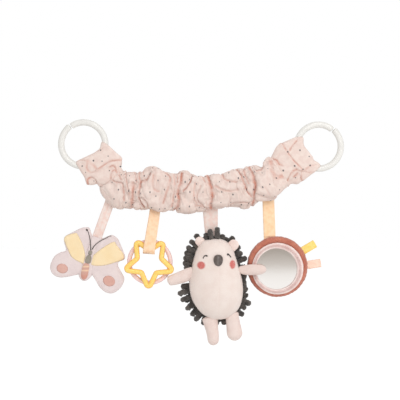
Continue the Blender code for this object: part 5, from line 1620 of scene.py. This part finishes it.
belly = pillow("hedgehog_belly_plush", body_line, 0.00125, BODY_SEAM, belly_front,
               lambda p: 0 * p[:, 0] + 0.0002, belly_plush, body="hedgehog", nodes=["hedgehog_belly"])
flat = points_of(belly)[:, ::2]
# Painted shade along the centre seam
give(belly, "crease", 0.08 * hill(to_seam(flat, 0.0008), 0.0008))
cheeks = np.zeros(len(flat))
for at, wide, high in CHEEKS:
    off = (flat - plan([at], -0.017)) / (np.array([wide, high]) * PIXEL)
    cheeks = np.maximum(cheeks, np.clip((1.12 - np.linalg.norm(off, axis=1)) / 0.22, 0, 1))
give(belly, "cheek", cheeks * 0.95)
print("belly", len(belly.data.vertices), "points")

# %% [markdown]
# ## Hedgehog: nose and closed eyes
#
# The nose is a hard-stuffed satin ball sewn on. The closed eyes are embroidered arcs with short lashes,
# so they are thin tubes that lie on the plush, found by looking at it from in front.

# %% Nose and eyes
NOSE_WIDE, NOSE_TALL, NOSE_ROWS = 0.0061, 0.0075, 40
EYE_THREAD, FACE_DEPTH = 0.00072, -0.017
belly_tree = surface_of(belly)
nose_centre = laid(belly_tree, plan([(218.2, 260.4)], -0.02))[0]
turn = np.linspace(0, math.pi, NOSE_ROWS)
line = np.column_stack([np.full(NOSE_ROWS, nose_centre[0]), np.full(NOSE_ROWS, nose_centre[1] - 0.0006),
                        nose_centre[2] + NOSE_TALL * np.cos(turn)])
wide = np.maximum(NOSE_WIDE * np.sin(turn) ** 0.85 * (1 + 0.10 * np.cos(turn)), 0.00015)
nose = tube("satin_nose", line, wide, satin, deep=wide * 0.80, sides=40, body="hedgehog", nodes=["nose"])
places = points_of(nose)
# A painted highlight: a pale vertical band on the front, a little left of the middle
painted_highlight = hill(places[:, 0] - nose_centre[0] + 0.0004, 0.0011) * (places[:, 1] < nose_centre[1])
give(nose, "painted_highlight", painted_highlight)


def eye(name, lines):
    """Threads along measured lines, laid on the belly."""
    shapes = []
    for pixels in lines:
        path = laid(belly_tree, smooth_line(plan(pixels, FACE_DEPTH), 26), EYE_THREAD * 0.6)
        shapes.append(skin(rings_along(path, EYE_THREAD * round_ends(len(path), 0.12), sides=10)))
    make(name, *many(shapes), seam_thread, body="hedgehog")


eye("left_eye_thread", [[(203.1, 258.6), (203.9, 256.9), (205.2, 255.8), (206.6, 255.5), (207.7, 256.3)],
                        [(206.4, 255.7), (207.4, 256.5)]])
eye("right_eye_thread", [[(227.1, 255.6), (227.7, 254.0), (228.8, 254.8), (230.0, 256.3), (231.1, 257.8)],
                         [(227.5, 254.4), (228.6, 255.3)]])
print("nose at", [round(v, 4) for v in nose_centre])

# %% [markdown]
# ## Hedgehog: the dome of its back
#
# The back is a dark knitted dome set all over with thick loops of chenille yarn. The dome only shows
# between the loops, so a little noise is enough to break up its surface.

# %% Dome of the back
BACK_DEPTH = 0.0175


def back_height(places):
    return BACK_DEPTH * (body_film.at(places) / tallest) ** 0.8


inner = body_line + (body_line.mean(0) - body_line) * 0.02
dome = pillow("chenille_back", inner, 0.0016, BODY_SEAM + 0.0004, lambda p: 0 * p[:, 0] - 0.0001,
              back_height, chenille, body="hedgehog", nodes=["hedgehog_back"])
moved = points_of(dome)
lumps = (bump_noise(moved, 0.004, 2.0) * 0.0006)[:, None] * (moved[:, 1:2] > BODY_SEAM + 0.002)
put(dome, moved + unit(moved - moved.mean(0)) * lumps)
print("dome", len(moved), "points")

# %% [markdown]
# ## Hedgehog: a loop of chenille yarn
#
# Seen from in front the loops stand out round the body as short blunt fingers. Each is a lumpy rod. A
# particle system could scatter them, but the tips round the outline are measured one by one.

# %% A loop of chenille yarn
OUTLINE_TIPS = (
    (223.2, 233.4), (233.8, 235.5), (241.0, 245.7), (204.6, 232.4), (194.6, 233.4), (189.3, 239.6),
    (185.8, 245.9),
    (183.6, 251.7), (182.4, 257.4), (181.9, 262.6), (183, 267.5), (180.0, 286.5), (177.0, 294.7),
    (180.0, 301.2),
    (184.6, 309.4), (190.0, 316.0), (193.8, 321.2), (202.0, 325.7), (209.5, 325.5), (217.0, 326.0),
    (225.0, 325.6),
    (234.6, 321.5), (244.4, 316.0), (246.6, 309.4), (251.7, 304.5), (248.9, 296.3), (248.2, 290.5),
    (246.8, 284.5),
    (247.6, 275.6), (246.8, 266.4), (247.7, 257.1), (243.2, 252.0))
EARS, LEFT_ARM = plan([(198.5, 240.0), (235.5, 243.0)], BODY_SEAM), plan([(188, 274)], BODY_SEAM)
LOOP_ROWS, LOOP_SIDES, LOOP_BEND = 16, 12, 0.0015
draw = random.Random(11)


def loop_rod(root, tip, half):
    """One lumpy rod of chenille from root to tip."""
    root, tip = np.asarray(root, float), np.asarray(tip, float)
    side = unit(np.cross(tip - root, [draw.uniform(-1, 1), draw.uniform(0.2, 1), draw.uniform(-1, 1)]))
    share = np.linspace(0, 1, LOOP_ROWS)[:, None]
    path = root + (tip - root) * share + side * LOOP_BEND * np.sin(math.pi * share) * draw.uniform(-1, 1)
    thick = half * (0.92 + 0.16 * share[:, 0]) * round_ends(LOOP_ROWS, 0.2)
    lead = (0, 1, 0) if abs(unit(tip - root)[1]) < 0.9 else (1, 0, 0)
    rings = rings_along(path, thick, sides=LOOP_SIDES, lead=lead)
    lumps = bump_noise(rings, 0.0030, draw.uniform(0, 50)).reshape(LOOP_ROWS, LOOP_SIDES)
    fluff = bump_noise(rings, 0.0013, draw.uniform(0, 50)).reshape(LOOP_ROWS, LOOP_SIDES)
    out = rings - path[:, None]
    return skin(path[:, None] + out * (1 + 0.32 * lumps + 0.26 * fluff)[..., None])


print("loop tools ready")

# %% [markdown]
# ## Hedgehog: loops round its outline
#
# The tips of the front row are measured. Behind them lie a row set by rule along the outline, and a row
# that follows the measured tips again, further in.

# %% Loops round the outline
centre = body_line.mean(0)
rods = []


def add_rod(root, root_depth, tip, tip_depth, half):
    """A rod between two places (x, z), each at its own depth."""
    rods.append(loop_rod([root[0], root_depth, root[1]], [tip[0], tip_depth, tip[1]], half))


def behind_ears(place):
    """Loops behind an ear start further back."""
    return 0.0052 * float(np.linalg.norm(EARS - place, axis=1).min() < 0.011)


def nearest_on_body(place):
    return body_line[np.argmin(np.linalg.norm(body_line - place, axis=1))]


for x, y in OUTLINE_TIPS:
    depth = 0.0068 + draw.uniform(-0.0012, 0.0018) + behind_ears(plan([(x, y)], BODY_SEAM))
    tip, = plan([(x, y)], depth)
    nearest = nearest_on_body(tip)
    root = nearest + unit(centre - nearest) * 0.004
    add_rod(root, depth + 0.0008, tip + unit(root - tip) * 0.0008, depth, 0.0034)
for place in body_line[::6]:
    out = unit(place - centre)
    depth, reach = 0.0082 + draw.uniform(-0.001, 0.003) + behind_ears(place), draw.uniform(3.0, 4.6) * PIXEL
    if np.linalg.norm(LEFT_ARM - place) >= 0.012:
        add_rod(place - out * 0.003, depth, place + out * (reach - 0.0008), depth + 0.001, 0.0035)
for x, y in OUTLINE_TIPS:
    depth = 0.0130 + draw.uniform(-0.001, 0.002)
    tip, = plan([(x + draw.uniform(-2, 2), y + draw.uniform(-2, 2))], depth)
    nearest = nearest_on_body(tip)
    root = nearest + unit(centre - nearest) * 0.009
    add_rod(root, depth - 0.001, nearest + (tip - nearest) * 0.62, depth + 0.003, 0.0036)
print(len(rods), "loops round the outline")

# %% [markdown]
# ## Hedgehog: loops over its back and crown
#
# More rows of loops cover the back, like bricks in a wall, each leaning outwards and a little down. Two
# loops at the crown stand in front of the ribbon.

# %% Loops over the back and crown
SPACING = 0.0078
low, high = body_line.min(0), body_line.max(0)
for row, z in enumerate(np.arange(low[1] + 0.004, high[1] - 0.003, SPACING * 0.87), 1):
    for x in np.arange(low[0] + (row % 2) * SPACING / 2, high[0], SPACING):
        place = np.array([x + draw.uniform(-0.001, 0.001), z + draw.uniform(-0.001, 0.001)])
        if not inside(place[None], body_line)[0] or distance_to(place[None], body_line)[0] < 0.005:
            continue
        foot = BODY_SEAM + float(back_height(place[None])[0]) - 0.003
        tip = place + unit(place - centre) * 0.0055 - [0, 0.0035]
        add_rod(place, foot, tip, foot + 0.0125, 0.0036)
make("chenille_loops", *many(rods), chenille, body="hedgehog", slot=True)

crown = [loop_rod(spot(211.6, 240.5, 0.0008), spot(210.1, 228.8, -0.0006), 0.0032),
         loop_rod(spot(216.8, 240.5, 0.0006), spot(217.0, 226.8, -0.0008), 0.0033)]
crown_loops = make("crown_loops", *many(crown), chenille, body="hedgehog", slot=True)
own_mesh(crown_loops)
print("chenille loops", len(rods) + len(crown))

# %% [markdown]
# ## Arms, legs and ears
#
# Each is a small sewn sausage or tab, stuffed less than the body: flattened, slightly tapered, with a
# rounded end and a seam that shows as a soft ridge along its edge. The left arm and the ears are sewn
# flat to the body, and are baked in place instead of riding on a body of their own.

# %% Arms, legs and ears
LIMB_ROWS, LIMB_SIDES = 64, 40


def limb(name, pixels, halves, depths, y, end_share, seam=None):
    """A stuffed limb along measured places. Without a seam it rides on its own body; with one it is baked in
    place.
    """
    y = np.broadcast_to(y, len(pixels))
    line = smooth_line([spot(px, py, d) for (px, py), d in zip(pixels, y)], LIMB_ROWS)
    along = np.linspace(0, 1, LIMB_ROWS)
    wide = filled(halves, LIMB_ROWS) * PIXEL
    deep = filled(depths, LIMB_ROWS) * MM
    near = np.clip((1 - along) / end_share, 0, 1)
    near = np.minimum(near, np.clip(along / 0.08, 0, 1))
    fall = np.sqrt(np.maximum(1 - (1 - near) ** 2, 0.0025))
    rings = rings_along(line, wide * fall, deep * fall, sides=LIMB_SIDES)
    lumps = bump_noise(rings, 0.007, len(name)).reshape(LIMB_ROWS, LIMB_SIDES)
    rings = line[:, None] + (rings - line[:, None]) * (1 + 0.035 * lumps)[..., None]
    finish = ear_plush if "ear" in name else limb_plush
    piece = make(name + "_plush", *skin(rings), finish, nodes=[name])
    if seam:
        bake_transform(piece)
    else:
        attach(piece, name)
    # Painted shade along the seam ridge and at the root, where the limb meets the body
    around = np.arange(LIMB_SIDES) * math.tau / LIMB_SIDES
    ridge = hill(np.sin(around), 0.10)
    root = np.exp(-along / 0.05)[:, None]
    give(piece, "crease", np.clip(0.45 * ridge[None] + 0.6 * root, 0, 1).ravel())


limb("left_arm", [(195.0, 271.6), (186, 275.4), (177, 278.6), (167.4, 281.4)], (5.8, 6.4, 6.2, 5.6, 4.7),
     (5.4, 5.3, 5.0, 4.6), -0.002, 0.09, (189.5, 273.3))
limb("right_arm", [(238.2, 269.8), (247, 269.9), (257, 269.7), (266.5, 269.5)], (3.2, 5.0, 5.4, 5.0, 3.8),
     (4.0, 4.8, 4.4, 4.0), (-0.002, -0.005, -0.0092, -0.0112), 0.20)
limb("left_leg", [(209.3, 316.0), (211.4, 326), (213.0, 336), (213.5, 345.3)], (8.2, 7.2, 6.3, 5.8, 5.1),
     (7.0, 7.0, 7.0, 6.6), 0.001, 0.17)
limb("right_leg", [(231.6, 311.5), (232.6, 320), (234.2, 330), (235.4, 340.6)], (6.8, 6.7, 7.2, 7.9, 7.0),
     (6.8, 6.8, 7.0, 6.8), 0.001, 0.24)
limb("left_ear", [(202.8, 244.8), (199.9, 241.4), (196.6, 237.9)], (4.6, 4.7, 4.4), (2.0, 2.0, 1.7),
     0.002, 0.42, (200.3, 242.4))
limb("right_ear", [(230.0, 248.4), (233.4, 245.0), (237.3, 241.2)], (5.2, 5.4, 4.8), (2.0, 2.0, 1.7),
     0.002, 0.42, (231.8, 246.3))
print("arms, legs and ears")

# %% [markdown]
# ## Mirror toy: pad
#
# A round velour pad of a front and a back half, sewn at the edge. A lathe gives such a form from half
# its section, and small waves at the edge keep it from looking turned.

# %% Pad of the mirror toy
PAD_CENTRE = np.array([0.0998, 0.0098, -0.1580])
PAD_RADIUS = 0.0395


def turned(name, centre, profile, steps, finish, waves=0.0, seed=0, hollow=False, **facts):
    """A form turned about a line front to back, from (radius, y); a hollow one has a closed section."""
    profile = smooth_line(np.array(profile) * MM, 60, hollow)
    turn = np.arange(steps) * math.tau / steps
    draw = random.Random(seed)
    wave = sum(draw.uniform(0.3, 1) * np.sin(rate * turn + draw.uniform(0, 6.28))
               for rate in (5, 9, 14, 23, 31, 44))
    weight = (profile[:, 0] / profile[:, 0].max()) ** 8
    radius = profile[:, :1] + waves * weight[:, None] * wave[None] * 0.3
    depth = profile[:, 1:] + waves * weight[:, None] * np.roll(wave, 7)[None]
    rings = np.stack([centre[0] + radius * np.cos(turn), depth, centre[2] + radius * np.sin(turn)], axis=-1)
    return make(name, *skin(rings, hollow), finish, **facts)


def pad(side, profile, seed):
    made = turned("velour_pad_" + side, PAD_CENTRE, profile, 200, velour, 0.0004, seed, body="mirror_toy",
                  nodes=["mirror_pad_" + side])
    off = np.linalg.norm(points_of(made)[:, ::2] - PAD_CENTRE[::2], axis=1)
    # Painted shade in the edge seam
    give(made, "crease", 0.6 * hill(off - PAD_RADIUS, 0.0006))


pad("front", [(12, 5.6), (24, 5.6), (29.5, 4.9), (33.0, 3.5), (35.6, 3.3), (37.6, 4.3), (39.0, 6.2),
              (39.5, 8.4), (39.3, 9.5), (36, 9.7), (12, 9.7)], 3)
pad("back", [(12, 9.9), (36, 9.9), (39.3, 10.0), (39.5, 11.2), (38.6, 13.4), (36.0, 15.4), (31.0, 16.6),
             (22.0, 17.1), (0.4, 17.3)], 4)
print("pad", round(PAD_RADIUS * 2000), "mm across")

# %% [markdown]
# ## Mirror toy: overlocked rim
#
# A ring of pale cloth holds the mirror, and its inner edge is overlocked, which shows as a row of short
# stitches right round it. They are drawn as threads, since a picture of them would have no relief.

# %% Overlocked rim
MIRROR_CENTRE = np.array([0.0998, 0.0, -0.1602])
STITCHES, STITCH_HALF, STITCH_ROWS = 168, 0.00033, 7
# Radius and depth of the places that a stitch goes over, in millimetres
STITCH_PLACES = ((28.1, 0.75), (29.4, 0.15), (31.0, 0.05), (31.9, 0.45))


def off_centre(places):
    """The rim's opening lies a little to the left of its outer edge."""
    reach = np.linalg.norm(places[:, ::2] - MIRROR_CENTRE[::2], axis=1)
    share = np.clip((0.0339 - reach) / 0.0069, 0, 1)
    return places - share[:, None] * np.array([0.0013, 0, 0.0004])


rim = turned("overlocked_rim", MIRROR_CENTRE, [
    (27.0, 2.9), (26.7, 1.9), (27.3, 1.0), (29.0, 0.5), (30.9, 0.45), (32.4, 0.8), (33.4, 1.7), (33.6, 2.6),
    (32.8, 3.0), (29, 3.1)], 220, rim_cloth, 0.00012, 5, True, body="mirror_toy", nodes=["mirror_bezel"])
put(rim, off_centre(points_of(rim)))
shapes = []
for step in range(STITCHES):
    angle = math.tau * (step + 0.5) / STITCHES
    out = np.array([math.cos(angle), 0, math.sin(angle)])
    aside = np.array([-out[2], 0, out[0]])
    places = [MIRROR_CENTRE + out * r * MM + [0, y * MM, 0] + aside * 0.0003 * (i - 1.5)
              for i, (r, y) in enumerate(STITCH_PLACES)]
    path = smooth_line(places, STITCH_ROWS)
    shapes.append(skin(rings_along(path, STITCH_HALF * round_ends(STITCH_ROWS, 0.3), sides=6, lead=aside)))
vertices, faces = many(shapes)
make("rim_stitches", off_centre(vertices), faces, rim_thread, body="mirror_toy")
print(STITCHES, "stitches")

# %% [markdown]
# ## Mirror toy: film
#
# The shatterproof film is slightly domed by the wadding behind it, so it mirrors the bright floor low
# down and the darker room above. A flat disc would show one even tone.

# %% Mirror film
turned("mirror_film", MIRROR_CENTRE + np.array([-0.0011, 0, -0.0003]), [
    (0.3, 3.00), (7, 3.04), (14, 3.17), (21, 3.39), (27.0, 3.68), (29.6, 3.84), (29.6, 4.9), (27, 5.0),
    (0.3, 5.0)], 120, mirror_film, body="mirror_toy", nodes=["mirror_disc"])
print("mirror in place")

# %% [markdown]
# ## Mirror toy: ribbon tags
#
# Two ribbons are folded double and sewn into the pad's edge seam. Their fold is round, not sharp, and
# the two layers lie close together but don't touch.

# %% Ribbon tags
TAG_DEPTH, TAG_EDGE = 0.0098, 0.00035


def tag(colour, finish, near, far, half):
    """A ribbon folded double: out along its front, round the fold and back, with its ends in the seam."""
    a, b = spot(*near, TAG_DEPTH), spot(*far, TAG_DEPTH)
    out = unit(b - a)
    share = np.linspace(0, 1, 26)
    run = a + out * (share[:, None] * np.linalg.norm(b - a))
    open_by = np.array([0, 1.0, 0]) * (0.0006 + 0.0004 * np.sin(share * math.pi / 2))[:, None]
    turn = np.linspace(-80, 80, 9)[:, None] * math.pi / 180
    bend = b + np.array([0, 1.0, 0]) * 0.001 * np.sin(turn) + out * 0.0008 * np.cos(turn)
    path = np.vstack([run - open_by, bend, (run + open_by)[::-1]])
    side = np.array([-out[2], 0, out[0]])
    face = unit(np.cross(unit(np.gradient(path, axis=0)), side))
    across = np.linspace(-1, 1, 9)
    edge = face[:, None] * (TAG_EDGE * np.sqrt(np.clip(1 - np.abs(across) ** 8, 0.1, 1)))[None, :, None]
    spread = path[:, None] + side * (across * half)[None, :, None]
    rings = np.concatenate([spread + edge, (spread - edge)[:, ::-1]], axis=1)
    node = colour + "_tag"
    piece = make(node + "_cloth", *skin(rings), finish, body=node, nodes=[node])
    both = np.concatenate([across, across[::-1]])
    steps = lay_flat(piece, path, both, half)
    # Painted shade round the fold; both edges are darker too
    tip = hill(steps - steps[-1] / 2, 0.0016)[:, None]
    give(piece, "crease", np.clip(0.7 * tip + 0.5 * (np.abs(both[None]) > 0.9), 0, 1).ravel())


tag("yellow", yellow_ribbon, (302.6, 250.9), (314.4, 243.9), 0.0052)
tag("pink", peach_tag_ribbon, (306.9, 265.0), (320.0, 263.0), 0.0054)
print("two tags")

# %% [markdown]
# ## Sizes and the end
#
# The dressed toy has to fill the space of the imported model, so the size of the dressed toy is printed,
# with any CAD node that still shows.

# %% Sizes and the end
for node_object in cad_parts.values():
    if not node_object.hide_render:
        print("shown CAD node", node_object.name)
low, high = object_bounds()
print("visual", [round((b - a) * 1000) for a, b in zip(low, high)], "mm")
